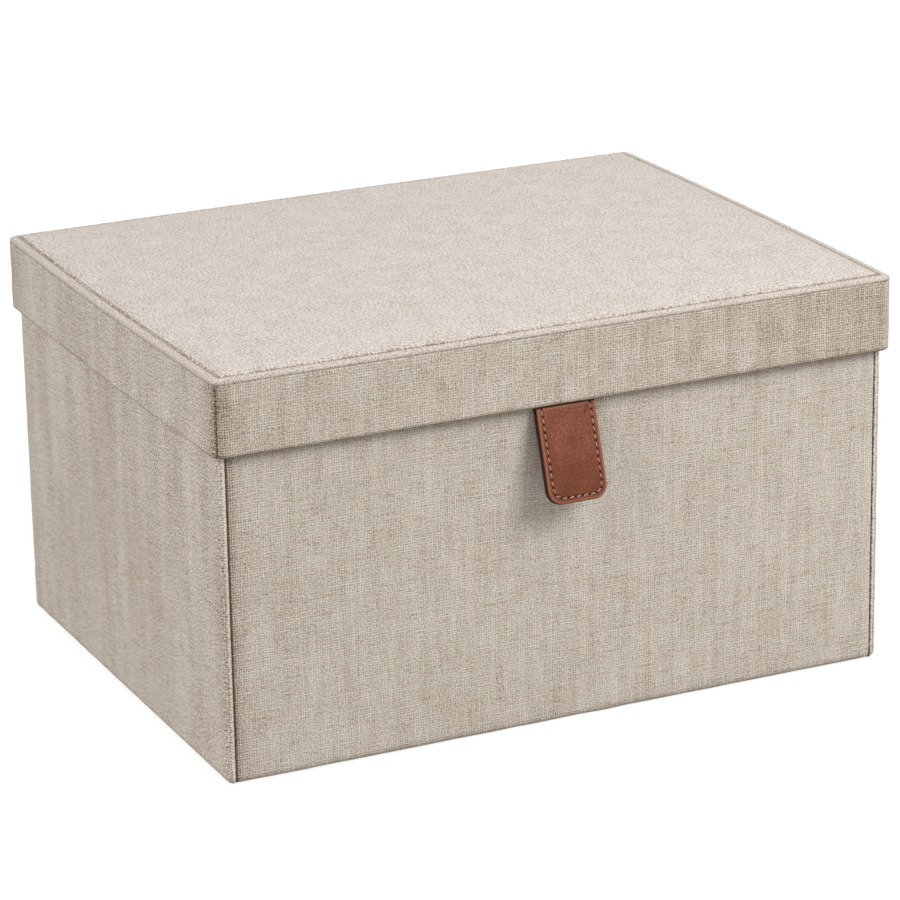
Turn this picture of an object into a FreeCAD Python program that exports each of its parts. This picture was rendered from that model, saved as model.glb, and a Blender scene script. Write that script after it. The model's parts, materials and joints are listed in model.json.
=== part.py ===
import FreeCAD, Part
import math
import os
import re
import Sketcher

# A storage box of board covered in linen, with a lift-off lid and a leather pull tab.
# Origin: centre of the base's underside. +X to the right, -Y to the front, +Z up.

sizeValues = {
    # the box
    "bodyWidth": 394,
    "bodyDepth": 300,
    "bodyHeight": 219.8,
    "cornerRadius": 4,
    "baseRadius": 4,
    "coverThick": 1.5,
    "boardThick": 2.5,
    "liningThick": 0.6,
    "seamInset": 4.5,
    "baseSeamInset": 9,
    "seamWide": 0.6,
    "seamDeep": 0.8,
    "threadThick": 0.4,
    # the lid
    "sideGap": 0.4,
    "frontGap": 3.4,
    "skirtDrop": 42.4,
    "skirtCover": 0.9,
    "skirtBoard": 1.4,
    "skirtLining": 0.3,
    "lidCornerRadius": 4.5,
    "lidSeamInset": 1.3,
    "hemRadius": 1.3,
    "topLining": 0.5,
    "topBoard": 2.5,
    "bandThick": 2.2,
    "bandWide": 6.6,
    "bandProud": 0.6,
    "bandRound": 1.5,
    "panelRadius": 4,
    "waddingEdge": 0.6,
    "crownRise": 3,
    "topCover": 0.9,
    # the pull tab
    "tabWidth": 35,
    "tabLong": 51.5,
    "tabLeather": 1.5,
    "tabFiller": 2,
    "tabCorner": 8,
    "tabRound": 1.2,
    "tabLeanDegrees": 18,
    "tabGap": 0.3,
    "stitchInset": 2.8,
    "stitchWide": 0.7,
    "stitchDeep": 0.5,
    "stitchStart": 2,
    "rootThick": 1.2,
    "rootHigh": 28,
    # how far a cutting shape runs past what it cuts
    "overrun": 5,
}

# lengths that follow from the sizes, as text for expressions
boxWall = "(coverThick + boardThick + liningThick)"
skirtWall = "(skirtCover + skirtBoard + skirtLining)"
lidWidth = f"(bodyWidth + 2 * sideGap + 2 * {skirtWall})"
lidDepth = f"(bodyDepth + 2 * frontGap + 2 * {skirtWall})"
skirtTop = "(bodyHeight + topLining + topBoard)"
hemLow = f"({skirtTop} + bandThick - skirtDrop)"
tabThick = "(tabFiller + 2 * tabLeather)"
rootMiddle = f"({lidDepth} / 2 - {skirtWall} - rootThick / 2)"
hingeHigh = f"({hemLow} - tabGap - {tabThick} / 2)"

doc = FreeCAD.newDocument("StorageBox")
sizes = doc.addObject("Spreadsheet::Sheet", "Sizes")
for row, (alias, value) in enumerate(sizeValues.items(), start=1):
    sizes.set(f"A{row}", alias)
    sizes.set(f"B{row}", str(value))
    sizes.setAlias(f"B{row}", alias)
doc.recompute()

nodes = []
hair = 1e-6  # what counts as no length when edges are compared


def link(text):
    # names of sizes become references to the sheet
    return re.sub(r"[A-Za-z]+", lambda word: "Sizes." + word.group(0), text)


def keep(shape, name):
    # a sub-part: its label is its node's name
    shape.Label = name
    nodes.append(shape)
    return shape


def place(shape, x="0", y="0", z="0"):
    for axis, text in (("x", x), ("y", y), ("z", z)):
        shape.setExpression(f"Placement.Base.{axis}", link(text))


def block(name, x, y, z):
    # a plain block between two limits on each axis
    shape = doc.addObject("Part::Box", name)
    for side, (low, high) in (("Length", x), ("Width", y), ("Height", z)):
        shape.setExpression(side, link(f"({high}) - ({low})"))
    place(shape, x[0], y[0], z[0])
    return shape


def cut(name, base, tool):
    shape = doc.addObject("Part::Cut", name)
    shape.Base = base
    shape.Tool = tool
    return shape


def common(name, base, tool):
    shape = doc.addObject("Part::Common", name)
    shape.Base = base
    shape.Tool = tool
    return shape


def fuse(name, shapes):
    shape = doc.addObject("Part::MultiFuse", name)
    shape.Shapes = shapes
    return shape


def group(name, shapes):
    shape = doc.addObject("Part::Compound", name)
    shape.Links = shapes
    return shape


def originPlane(body, role):
    return next(plane for plane in body.Origin.OriginFeatures if plane.Role == role)


def newSketch(body, name, role):
    sketch = body.newObject("Sketcher::SketchObject", name)
    sketch.AttachmentSupport = [(originPlane(body, role), "")]
    sketch.MapMode = "FlatFace"
    return sketch


def setDatum(sketch, constraint, text):
    index = sketch.addConstraint(constraint)
    sketch.setExpression(f"Constraints[{index}]", link(text))


def rectangle(sketch, width, depth):
    # a rectangle centred on the origin
    halfX = sizes.bodyWidth / 2
    halfY = sizes.bodyDepth / 2
    corners = [FreeCAD.Vector(x * halfX, y * halfY, 0) for x, y in ((-1, -1), (1, -1), (1, 1), (-1, 1))]
    lines = []
    for start, end in zip(corners, corners[1:] + corners[:1]):
        lines.append(sketch.addGeometry(Part.LineSegment(start, end)))
    for line, following in zip(lines, lines[1:] + lines[:1]):
        sketch.addConstraint(Sketcher.Constraint("Coincident", line, 2, following, 1))
    for flat, upright in (lines[0:2], lines[2:4]):
        sketch.addConstraint(Sketcher.Constraint("Horizontal", flat))
        sketch.addConstraint(Sketcher.Constraint("Vertical", upright))
    sketch.addConstraint(Sketcher.Constraint("Symmetric", lines[0], 1, lines[2], 1, -1, 1))
    setDatum(sketch, Sketcher.Constraint("Distance", lines[0], 2 * halfX), width)
    setDatum(sketch, Sketcher.Constraint("Distance", lines[1], 2 * halfY), depth)


def padOf(body, name, sketch, length):
    pad = body.newObject("PartDesign::Pad", name)
    pad.Profile = sketch
    pad.setExpression("Length", link(length))
    return pad


def filletOf(body, name, feature, edges, radius):
    fillet = body.newObject("PartDesign::Fillet", name)
    fillet.Base = (feature, edges)
    fillet.setExpression("Radius", link(radius))
    return fillet


def edgesAtHeight(shape, height):
    # names of the edges that lie wholly at one height
    names = []
    for index, edge in enumerate(shape.Edges, start=1):
        box = edge.BoundBox
        if abs(box.ZMin - height) < hair and abs(box.ZMax - height) < hair:
            names.append(f"Edge{index}")
    return names


def uprightEdges(shape):
    # names of the vertical edges
    names = []
    for index, edge in enumerate(shape.Edges, start=1):
        box = edge.BoundBox
        if box.XLength < hair and box.YLength < hair:
            names.append(f"Edge{index}")
    return names


def roundedBlock(name, width, depth, radius, low, high, lowRound=None, highRound=None):
    # an upright block with rounded vertical edges, and if asked rounded edges below or above
    body = doc.addObject("PartDesign::Body", name)
    sketch = newSketch(body, name + "Outline", "XY_Plane")
    rectangle(sketch, width, depth)
    feature = padOf(body, name + "Pad", sketch, f"({high}) - ({low})")
    doc.recompute()
    feature = filletOf(body, name + "Corners", feature, uprightEdges(feature.Shape), radius)
    doc.recompute()
    if lowRound:
        edges = edgesAtHeight(feature.Shape, 0)
        feature = filletOf(body, name + "LowRound", feature, edges, lowRound)
        doc.recompute()
    if highRound:
        edges = edgesAtHeight(feature.Shape, feature.Shape.BoundBox.ZMax)
        feature = filletOf(body, name + "HighRound", feature, edges, highRound)
        doc.recompute()
    place(body, z=low)
    return body


def mirrored(low, high):
    # the same stretch on the other side of the origin
    return (f"-({high})", f"-({low})")


# The box: one outer form, a core that the boards fill, and the cover between them

coreWidth = "(bodyWidth - 2 * coverThick)"
coreDepth = "(bodyDepth - 2 * coverThick)"
coreTop = "(bodyHeight - coverThick)"
roomWidth = f"(bodyWidth - 2 * {boxWall})"
roomDepth = f"(bodyDepth - 2 * {boxWall})"
floorTop = "(coverThick + boardThick)"
bodyHigh = ("-overrun", "bodyHeight + overrun")

bodyForm = roundedBlock("BodyForm", "bodyWidth", "bodyDepth", "cornerRadius", "0", "bodyHeight", "baseRadius")
bodyCore = roundedBlock("BodyCore", coreWidth, coreDepth, "cornerRadius - coverThick",
                        "coverThick", coreTop, "baseRadius - coverThick")
roomX = (f"-{roomWidth} / 2", f"{roomWidth} / 2")
roomY = (f"-{roomDepth} / 2", f"{roomDepth} / 2")
bodyRoom = block("BodyRoom", roomX, roomY, (floorTop, "bodyHeight + overrun"))


def seamRuns(name, inset, floorIn, thick, low, high, width, depth):
    # four upright strips near the corners, on the front and back faces: a seam's slots or its threads.
    # Each starts at the seam's floor, floorIn behind the face, and comes outwards by its thickness
    runs = []
    deep = (f"{depth} / 2 - ({floorIn})", f"{depth} / 2 - ({floorIn}) + ({thick})")
    wide = (f"{width} / 2 - ({inset}) - seamWide / 2", f"{width} / 2 - ({inset}) + seamWide / 2")
    for side, x in (("Left", mirrored(*wide)), ("Right", wide)):
        for face, y in (("Front", mirrored(*deep)), ("Back", deep)):
            runs.append(block(name + face + side, x, y, (low, high)))
    return runs


seamHigh = ("baseRadius", "bodyHeight - coverThick")
bodySlots = fuse("BodySeamSlots", seamRuns("BodySlot", "seamInset", "seamDeep", "seamDeep + overrun",
                                           *seamHigh, "bodyWidth", "bodyDepth"))
hollowCover = cut("BodyCoverHollow", cut("BodyCoverWhole", bodyForm, bodyCore), bodyRoom)
bodyCover = cut("BodyCover", hollowCover, bodySlots)

betweenSeams = ("-(bodyWidth / 2 - seamInset)", "bodyWidth / 2 - seamInset")
wholeWidth = ("-(bodyWidth / 2 + overrun)", "bodyWidth / 2 + overrun")
wholeDepth = ("-(bodyDepth / 2 + overrun)", "bodyDepth / 2 + overrun")
backStretch = ("bodyDepth / 2 - baseSeamInset", "bodyDepth / 2 + overrun")
baseStretch = ("-(bodyDepth / 2 - baseSeamInset)", "bodyDepth / 2 - baseSeamInset")
frontPart = block("FrontCoverPart", betweenSeams, mirrored(*backStretch), bodyHigh)
backPart = block("BackCoverPart", betweenSeams, backStretch, bodyHigh)
basePart = block("BaseCoverPart", betweenSeams, baseStretch, ("-overrun", floorTop))
sideCovers = cut("SideCovers", bodyCover, fuse("BetweenSideCovers", [frontPart, backPart, basePart]))
rightPart = block("RightCoverPart", ("0", "bodyWidth / 2 + overrun"), wholeDepth, bodyHigh)
leftPart = block("LeftCoverPart", ("-(bodyWidth / 2 + overrun)", "0"), wholeDepth, bodyHigh)

keep(common("FrontCover", bodyCover, frontPart), "front_cover")
keep(common("BackCover", bodyCover, backPart), "back_cover")
keep(common("BaseCover", bodyCover, basePart), "base_cover")
keep(common("LeftCover", sideCovers, leftPart), "left_cover")
keep(common("RightCover", sideCovers, rightPart), "right_cover")
keep(group("BodySeamThreads", seamRuns("BodyThread", "seamInset", "seamDeep", "threadThick",
                                       *seamHigh, "bodyWidth", "bodyDepth")), "body_seam_threads")

# boards: the side boards run the whole depth, the front and back boards stand between them
wallEnd = f"{coreWidth} / 2 - boardThick"
betweenSides = (f"-({wallEnd})", wallEnd)
sideStretch = (wallEnd, "bodyWidth / 2 + overrun")
backBoardStretch = (f"{coreDepth} / 2 - boardThick", "bodyDepth / 2 + overrun")
boardStretches = {
    "front_board": (betweenSides, mirrored(*backBoardStretch)),
    "back_board": (betweenSides, backBoardStretch),
    "left_board": (mirrored(*sideStretch), wholeDepth),
    "right_board": (sideStretch, wholeDepth),
}
for name, (x, y) in boardStretches.items():
    keep(common(name.title(), bodyCore, block(name.title() + "Part", x, y, bodyHigh)), name)
betweenBoards = (f"-({coreDepth} / 2 - boardThick)", f"{coreDepth} / 2 - boardThick")
keep(block("BottomBoard", betweenSides, betweenBoards, ("coverThick", floorTop)), "bottom_board")

# linings: a floor sheet between four wall sheets
liningHigh = (floorTop, coreTop)
sideLining = (f"{roomWidth} / 2", f"{roomWidth} / 2 + liningThick")
backLining = (f"{roomDepth} / 2", f"{roomDepth} / 2 + liningThick")
keep(block("LeftLining", mirrored(*sideLining), betweenBoards, liningHigh), "left_lining")
keep(block("RightLining", sideLining, betweenBoards, liningHigh), "right_lining")
keep(block("FrontLining", roomX, mirrored(*backLining), liningHigh), "front_lining")
keep(block("BackLining", roomX, backLining, liningHigh), "back_lining")
keep(block("FloorLining", roomX, roomY, (floorTop, f"{floorTop} + liningThick")), "floor_lining")

# The lid: a board tray whose skirt hangs over the box, and a padded top inside an edge band

lidCoreWidth = f"({lidWidth} - 2 * skirtCover)"
lidCoreDepth = f"({lidDepth} - 2 * skirtCover)"
lidRim = "(bodyHeight + topLining)"
hemTop = f"({hemLow} + skirtCover)"
lidHigh = (f"{hemLow} - overrun", f"{skirtTop} + overrun")

lidForm = roundedBlock("LidForm", lidWidth, lidDepth, "lidCornerRadius", hemLow, skirtTop, "hemRadius")
lidCore = roundedBlock("LidCore", lidCoreWidth, lidCoreDepth, "lidCornerRadius - skirtCover",
                       hemTop, skirtTop)
mouthX = (f"-({lidWidth} / 2 - {skirtWall})", f"{lidWidth} / 2 - {skirtWall}")
mouthY = (f"-({lidDepth} / 2 - {skirtWall})", f"{lidDepth} / 2 - {skirtWall}")
lidMouth = block("LidMouth", mouthX, mouthY, (f"{hemLow} - overrun", lidRim))
lidSeamHigh = (f"{hemLow} + hemRadius", skirtTop)
lidSeamFloor = "lidSeamInset + seamDeep / 2"
lidSlots = fuse("LidSeamSlots", seamRuns("LidSlot", "lidSeamInset", lidSeamFloor, "seamDeep + overrun",
                                         *lidSeamHigh, lidWidth, lidDepth))
hollowSkirt = cut("SkirtCoverHollow", cut("SkirtCoverWhole", lidForm, lidCore), lidMouth)
skirtCovers = cut("SkirtCovers", hollowSkirt, lidSlots)

betweenLidSeams = (f"-({lidWidth} / 2 - lidSeamInset)", f"{lidWidth} / 2 - lidSeamInset")
lidBackStretch = (f"{lidDepth} / 2 - {skirtWall}", f"{lidDepth} / 2 + overrun")
lidWholeDepth = (f"-({lidDepth} / 2 + overrun)", f"{lidDepth} / 2 + overrun")
lidFrontPart = block("LidFrontPart", betweenLidSeams, mirrored(*lidBackStretch), lidHigh)
lidBackPart = block("LidBackPart", betweenLidSeams, lidBackStretch, lidHigh)
lidSideCovers = cut("LidSideCovers", skirtCovers, fuse("BetweenLidSides", [lidFrontPart, lidBackPart]))
lidRightPart = block("LidRightPart", ("0", f"{lidWidth} / 2 + overrun"), lidWholeDepth, lidHigh)
lidLeftPart = block("LidLeftPart", (f"-({lidWidth} / 2 + overrun)", "0"), lidWholeDepth, lidHigh)

keep(common("LidFrontCover", skirtCovers, lidFrontPart), "lid_front_cover")
keep(common("LidBackCover", skirtCovers, lidBackPart), "lid_back_cover")
keep(common("LidLeftCover", lidSideCovers, lidLeftPart), "lid_left_cover")
keep(common("LidRightCover", lidSideCovers, lidRightPart), "lid_right_cover")
keep(group("LidSeamThreads", seamRuns("LidThread", "lidSeamInset", lidSeamFloor, "threadThick",
                                      *lidSeamHigh, lidWidth, lidDepth)), "lid_seam_threads")

# the tray's boards: a top board over four skirt boards
skirtEnd = f"{lidCoreWidth} / 2 - skirtBoard"
betweenSkirts = (f"-({skirtEnd})", skirtEnd)
skirtSide = (skirtEnd, f"{lidWidth} / 2 + overrun")
skirtBack = (f"{lidCoreDepth} / 2 - skirtBoard", f"{lidDepth} / 2 + overrun")
underTop = (f"{hemLow} - overrun", lidRim)
skirtStretches = {
    "lid_front_board": (betweenSkirts, mirrored(*skirtBack)),
    "lid_back_board": (betweenSkirts, skirtBack),
    "lid_left_board": (mirrored(*skirtSide), lidWholeDepth),
    "lid_right_board": (skirtSide, lidWholeDepth),
}
for name, (x, y) in skirtStretches.items():
    keep(common(name.title(), lidCore, block(name.title() + "Part", x, y, underTop)), name)
lidWholeWidth = (f"-({lidWidth} / 2 + overrun)", f"{lidWidth} / 2 + overrun")
topPart = block("LidBoardPart", lidWholeWidth, lidWholeDepth, (lidRim, f"{skirtTop} + overrun"))
keep(common("LidBoard", lidCore, topPart), "lid_board")

# the tray's linings: one sheet under the top board, and four strips below it
betweenSkirtDepth = (f"-({lidCoreDepth} / 2 - skirtBoard)", f"{lidCoreDepth} / 2 - skirtBoard")
stripHigh = (hemTop, "bodyHeight")
sideStrip = (f"{lidWidth} / 2 - {skirtWall}", skirtEnd)
backStrip = (f"{lidDepth} / 2 - {skirtWall}", f"{lidCoreDepth} / 2 - skirtBoard")
keep(block("LidTopLining", betweenSkirts, betweenSkirtDepth, ("bodyHeight", lidRim)), "lid_top_lining")
keep(block("LidLeftLining", mirrored(*sideStrip), betweenSkirtDepth, stripHigh), "lid_left_lining")
keep(block("LidRightLining", sideStrip, betweenSkirtDepth, stripHigh), "lid_right_lining")
keep(block("LidFrontLining", mouthX, mirrored(*backStrip), stripHigh), "lid_front_lining")
keep(block("LidBackLining", mouthX, backStrip, stripHigh), "lid_back_lining")

# the edge band lies on the top board's rim and stands slightly proud of the skirt
panelWidth = f"({lidWidth} - 2 * bandWide)"
panelDepth = f"({lidDepth} - 2 * bandWide)"
bandTop = f"({skirtTop} + bandThick)"
bandForm = roundedBlock("BandForm", f"({lidWidth} + 2 * bandProud)", f"({lidDepth} + 2 * bandProud)",
                        "lidCornerRadius + bandProud", skirtTop, bandTop, "bandProud", "bandRound")
bandOpening = roundedBlock("BandOpening", panelWidth, panelDepth, "panelRadius",
                           f"{skirtTop} - overrun", f"{bandTop} + overrun")
keep(cut("LidEdgeBand", bandForm, bandOpening), "lid_edge_band")

# The padded top: a crowned sheet of wadding under its cover, highest in the middle

lengthShares = (-1, -0.62, 0, 0.62, 1)
riseShares = (0.02, 0.7, 1, 0.7, 0.02)


def crowned(name, edge):
    # a loft through sections across the depth, each flat below and arched above
    width = sizes.bodyWidth + 2 * (sizes.sideGap + sizes.skirtCover + sizes.skirtBoard + sizes.skirtLining)
    depth = sizes.bodyDepth + 2 * (sizes.frontGap + sizes.skirtCover + sizes.skirtBoard + sizes.skirtLining)
    halfX = width / 2 - sizes.bandWide
    halfY = depth / 2 - sizes.bandWide
    sections = []
    for along, rise in zip(lengthShares, riseShares):
        y = along * halfY
        corners = [FreeCAD.Vector(-halfX, y, edge), FreeCAD.Vector(-halfX, y, 0),
                   FreeCAD.Vector(halfX, y, 0), FreeCAD.Vector(halfX, y, edge)]
        crest = FreeCAD.Vector(0, y, edge + rise * sizes.crownRise)
        sides = [Part.LineSegment(a, b).toShape() for a, b in zip(corners, corners[1:])]
        arch = Part.Arc(corners[3], crest, corners[0]).toShape()
        sections.append(Part.Wire(sides + [arch]))
    feature = doc.addObject("Part::Feature", name)
    feature.Shape = Part.makeLoft(sections, True, False)
    place(feature, z=skirtTop)
    return feature


panelForm = roundedBlock("PanelForm", panelWidth, panelDepth, "panelRadius",
                         f"{skirtTop}", f"{skirtTop} + waddingEdge + topCover + crownRise + overrun")
waddingForm = crowned("WaddingForm", sizes.waddingEdge)
coverForm = crowned("CoverForm", sizes.waddingEdge + sizes.topCover)
keep(common("LidWadding", panelForm, waddingForm), "lid_wadding")
keep(common("LidTopCover", panelForm, cut("CoverSheet", coverForm, waddingForm)), "lid_top_cover")

# The pull tab: a root sewn inside the front skirt, and a stitched tab that bends at the hem

rootX = ("-tabWidth / 2", "tabWidth / 2")
rootY = (f"-({lidDepth} / 2 - {skirtWall})", f"-({lidDepth} / 2 - {skirtWall} - rootThick)")
keep(block("TabRoot", rootX, rootY, (hemLow, f"{hemLow} + rootHigh")), "tab_root")


def tabOutline(sketch, halfWidth, top, bottom, corner):
    # hangs down from the sketch's X axis: straight sides, flat end, two rounded lower corners
    a = sizes.tabWidth / 2
    drop = sizes.tabLong
    r = sizes.tabCorner
    points = [(a, 0), (-a, 0), (-a, r - drop), (r - a, -drop), (a - r, -drop), (a, r - drop)]
    vectors = [FreeCAD.Vector(x, y, 0) for x, y in points]
    head = sketch.addGeometry(Part.LineSegment(vectors[0], vectors[1]))
    left = sketch.addGeometry(Part.LineSegment(vectors[1], vectors[2]))
    foot = sketch.addGeometry(Part.LineSegment(vectors[3], vectors[4]))
    right = sketch.addGeometry(Part.LineSegment(vectors[5], vectors[0]))
    quarter = math.pi / 2
    leftCircle = Part.Circle(FreeCAD.Vector(r - a, r - drop, 0), FreeCAD.Vector(0, 0, 1), r)
    rightCircle = Part.Circle(FreeCAD.Vector(a - r, r - drop, 0), FreeCAD.Vector(0, 0, 1), r)
    leftArc = sketch.addGeometry(Part.ArcOfCircle(leftCircle, 2 * quarter, 3 * quarter))
    rightArc = sketch.addGeometry(Part.ArcOfCircle(rightCircle, 3 * quarter, 4 * quarter))
    sketch.addConstraint(Sketcher.Constraint("Coincident", head, 2, left, 1))
    sketch.addConstraint(Sketcher.Constraint("Coincident", right, 2, head, 1))
    sketch.addConstraint(Sketcher.Constraint("Tangent", left, 2, leftArc, 1))
    sketch.addConstraint(Sketcher.Constraint("Tangent", leftArc, 2, foot, 1))
    sketch.addConstraint(Sketcher.Constraint("Tangent", foot, 2, rightArc, 1))
    sketch.addConstraint(Sketcher.Constraint("Tangent", rightArc, 2, right, 1))
    sketch.addConstraint(Sketcher.Constraint("Equal", leftArc, rightArc))
    sketch.addConstraint(Sketcher.Constraint("Horizontal", foot))
    sketch.addConstraint(Sketcher.Constraint("Vertical", left))
    sketch.addConstraint(Sketcher.Constraint("Vertical", right))
    sketch.addConstraint(Sketcher.Constraint("Symmetric", head, 1, head, 2, -2))
    setDatum(sketch, Sketcher.Constraint("Radius", leftArc, r), corner)
    setDatum(sketch, Sketcher.Constraint("Distance", head, 2 * a), f"2 * ({halfWidth})")
    setDatum(sketch, Sketcher.Constraint("DistanceY", foot, 1, -1, 1, drop), bottom)
    setDatum(sketch, Sketcher.Constraint("DistanceY", head, 1, -1, 1, 0), top)


def tabPlate(name, inset, top, thick, faceEdges=None):
    # the tab's outline drawn in by an inset, padded to both sides of the hinge's upright plane
    body = doc.addObject("PartDesign::Body", name)
    sketch = newSketch(body, name + "Outline", "XZ_Plane")
    tabOutline(sketch, f"tabWidth / 2 - ({inset})", top, f"tabLong - ({inset})", f"tabCorner - ({inset})")
    pad = padOf(body, name + "Pad", sketch, thick)
    pad.Midplane = True
    doc.recompute()
    if faceEdges:
        # the rim of both faces is rounded, but not where the plate meets the hinge
        names = []
        for index, edge in enumerate(pad.Shape.Edges, start=1):
            box = edge.BoundBox
            if box.YLength < hair and box.ZMin < -hair:
                names.append(f"Edge{index}")
        filletOf(body, name + "Round", pad, names, faceEdges)
        doc.recompute()
    return body


def hang(shape):
    # turns a tab piece out by the lean and carries it to the hinge under the hem
    turn = FreeCAD.Rotation(FreeCAD.Vector(-1, 0, 0), sizes.tabLeanDegrees)
    shape.Placement = FreeCAD.Placement(FreeCAD.Vector(0, 0, 0), turn)
    shape.setExpression("Placement.Rotation.Angle", link("tabLeanDegrees"))
    place(shape, y=f"-{rootMiddle}", z=hingeHigh)
    return shape


# the folded upper end is round about the hinge, with the same rounded rim as the plate
foldEnd = doc.addObject("Part::Cylinder", "TabFoldEnd")
foldEnd.setExpression("Radius", link(f"{tabThick} / 2"))
foldEnd.setExpression("Height", link("tabWidth"))
foldEnd.Placement = FreeCAD.Placement(FreeCAD.Vector(0, 0, 0), FreeCAD.Rotation(FreeCAD.Vector(0, 1, 0), 90))
place(foldEnd, x="-tabWidth / 2")
doc.recompute()
foldRound = doc.addObject("Part::Fillet", "TabFoldRound")
foldRound.Base = foldEnd
roundEdges = [i for i, edge in enumerate(foldEnd.Shape.Edges, start=1) if edge.BoundBox.XLength < hair]
foldRound.Edges = [(i, sizes.tabRound, sizes.tabRound) for i in roundEdges]
tabBlank = fuse("TabBlank", [tabPlate("TabPlate", "0", "0", tabThick, "tabRound"), foldRound])
acrossTab = ("-(tabWidth / 2 + overrun)", "tabWidth / 2 + overrun")
alongTab = ("-(tabLong + overrun)", f"{tabThick} / 2 + overrun")
frontLayer = (f"-({tabThick} / 2 + overrun)", "-tabFiller / 2")
layers = {
    "tab_front_leather": frontLayer,
    "tab_filler": ("-tabFiller / 2", "tabFiller / 2"),
    "tab_back_leather": mirrored(*frontLayer),
}

# the thread lies in a U-shaped groove on each face, along the sides and round the end
outerLine = tabPlate("StitchOuter", "stitchInset", "stitchStart", tabThick)
innerLine = tabPlate("StitchInner", "stitchInset + stitchWide", "stitchStart - overrun",
                     f"{tabThick} + overrun")
stitchRing = cut("StitchRing", outerLine, innerLine)
stitchFloor = f"{tabThick} / 2 - stitchDeep"
stitchCore = block("StitchCore", acrossTab, (f"-({stitchFloor})", stitchFloor), alongTab)
tabThread = cut("TabThread", stitchRing, stitchCore)
for name, y in layers.items():
    layer = common(name.title() + "Whole", tabBlank, block(name.title() + "Part", acrossTab, y, alongTab))
    keep(hang(cut(name.title(), layer, tabThread)), name)
keep(hang(group("TabThreads", [tabThread])), "tab_stitching")

doc.recompute()

for shape in doc.Objects:
    if {"Invalid", "Error"} & set(shape.State):
        raise RuntimeError(f"{shape.Name} has failed: {shape.State}")
for node in nodes:
    if node.Shape.isNull() or not node.Shape.isValid() or not node.Shape.Solids:
        raise RuntimeError(f"{node.Label} has no sound solid")

os.makedirs("parts", exist_ok=True)
for node in nodes:
    node.Shape.exportStep(f"parts/{node.Label}.step")
    print(node.Label, len(node.Shape.Solids), round(node.Shape.Volume, 1))
print(len(nodes), "nodes")
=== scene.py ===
import json
import math

import bmesh
import bpy
import numpy as np
from mathutils import Matrix, Vector


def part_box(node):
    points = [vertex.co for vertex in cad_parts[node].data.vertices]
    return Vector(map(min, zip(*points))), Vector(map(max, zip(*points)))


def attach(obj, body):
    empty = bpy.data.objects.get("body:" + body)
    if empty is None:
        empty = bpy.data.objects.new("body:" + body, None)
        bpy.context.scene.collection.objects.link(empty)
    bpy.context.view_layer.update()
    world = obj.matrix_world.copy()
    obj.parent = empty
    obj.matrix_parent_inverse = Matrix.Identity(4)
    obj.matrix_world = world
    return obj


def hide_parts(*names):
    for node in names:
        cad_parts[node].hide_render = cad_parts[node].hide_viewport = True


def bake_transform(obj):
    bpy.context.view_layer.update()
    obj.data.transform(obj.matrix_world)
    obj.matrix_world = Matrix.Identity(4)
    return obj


# A linen-covered storage box: the lid lifts off, a stitched leather tab hangs at its front.
# Everything is in metres, +X to the right, -Y to the front, +Z up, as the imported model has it.

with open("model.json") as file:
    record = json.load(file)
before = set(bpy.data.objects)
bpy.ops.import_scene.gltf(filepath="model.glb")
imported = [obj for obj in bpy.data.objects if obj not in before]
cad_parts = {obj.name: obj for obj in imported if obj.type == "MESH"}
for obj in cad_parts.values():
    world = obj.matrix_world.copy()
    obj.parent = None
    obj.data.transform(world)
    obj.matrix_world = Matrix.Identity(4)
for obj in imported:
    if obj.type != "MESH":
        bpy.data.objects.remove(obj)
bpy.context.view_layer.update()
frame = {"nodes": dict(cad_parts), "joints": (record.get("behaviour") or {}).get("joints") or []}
mm = 0.001
full = 2 * math.pi  # a full turn


def near(node):
    return np.array(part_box(node)[0])


def far(node):
    return np.array(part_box(node)[1])


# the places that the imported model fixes
bodyHalf = np.array([far("right_cover")[0], far("back_cover")[1]])
bodyTop = far("left_cover")[2]
bodySeam = far("front_cover")[0]
bodyWall = bodyHalf[1] - far("floor_lining")[1]
baseInset = bodyHalf[1] - far("base_cover")[1]
lidHalf = np.array([far("lid_right_cover")[0], far("lid_back_cover")[1]])
lidSeam = far("lid_front_cover")[0]
hemZ = near("lid_left_cover")[2]
skirtTop = far("lid_left_cover")[2]
skirtIn = lidHalf[1] - near("lid_back_lining")[1]
bandTop = far("lid_edge_band")[2]
panelHalf = far("lid_top_cover")[:2]
crownTop = far("lid_top_cover")[2]
hinge = np.array(next(joint for joint in frame["joints"] if joint["name"] == "tab_flex")["pos_m"])
print("frame loaded:", len(frame["nodes"]), "nodes")


# Meshes

def ripples(u, v, wavelength, seed, waves=20):
    # smooth unevenness between about -1 and 1: a sum of cosines of like length in random directions
    total = 0 * (u + v)
    for turn, start, stretch in np.random.default_rng(seed).random((waves, 3)):
        rate = full / (wavelength * (0.65 + 0.9 * stretch))
        total = total + np.cos(rate * (u * math.cos(full * turn) + v * math.sin(full * turn)) + full * start)
    return total / math.sqrt(2 * waves)


def dip(distance, width):
    # one at no distance, falling off as a bell
    return np.exp(-(distance / width) ** 2)


def settled(distance, width):
    # nothing at no distance, rising towards one
    return 1 - np.exp(-distance / width)


def squared(wave, power):
    # a sine or cosine made fuller, which squares up the oval that it draws
    return np.sign(wave) * np.abs(wave) ** power


def stacked(*parts):
    # arrays that fit each other, side by side in one array's last direction
    return np.stack(np.broadcast_arrays(*parts), axis=-1)


def raised(place, z):
    # points at places in plan, at height z
    return stacked(place[..., 0], place[..., 1], z)


def gradedSteps(start, end, features, fine, coarse, growth=0.22, samples=6000):
    # places from start to end whose spacing grows with the distance from the nearest feature
    dense = np.linspace(start, end, samples)
    gap = np.abs(dense[:, None] - np.array(features)[None, :]).min(axis=1)
    spacing = np.clip(fine + growth * gap, fine, coarse)
    count = np.concatenate([[0], np.cumsum(np.diff(dense) / spacing[1:])])
    return np.interp(np.linspace(0, count[-1], math.ceil(count[-1]) + 1), count, dense)


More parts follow.
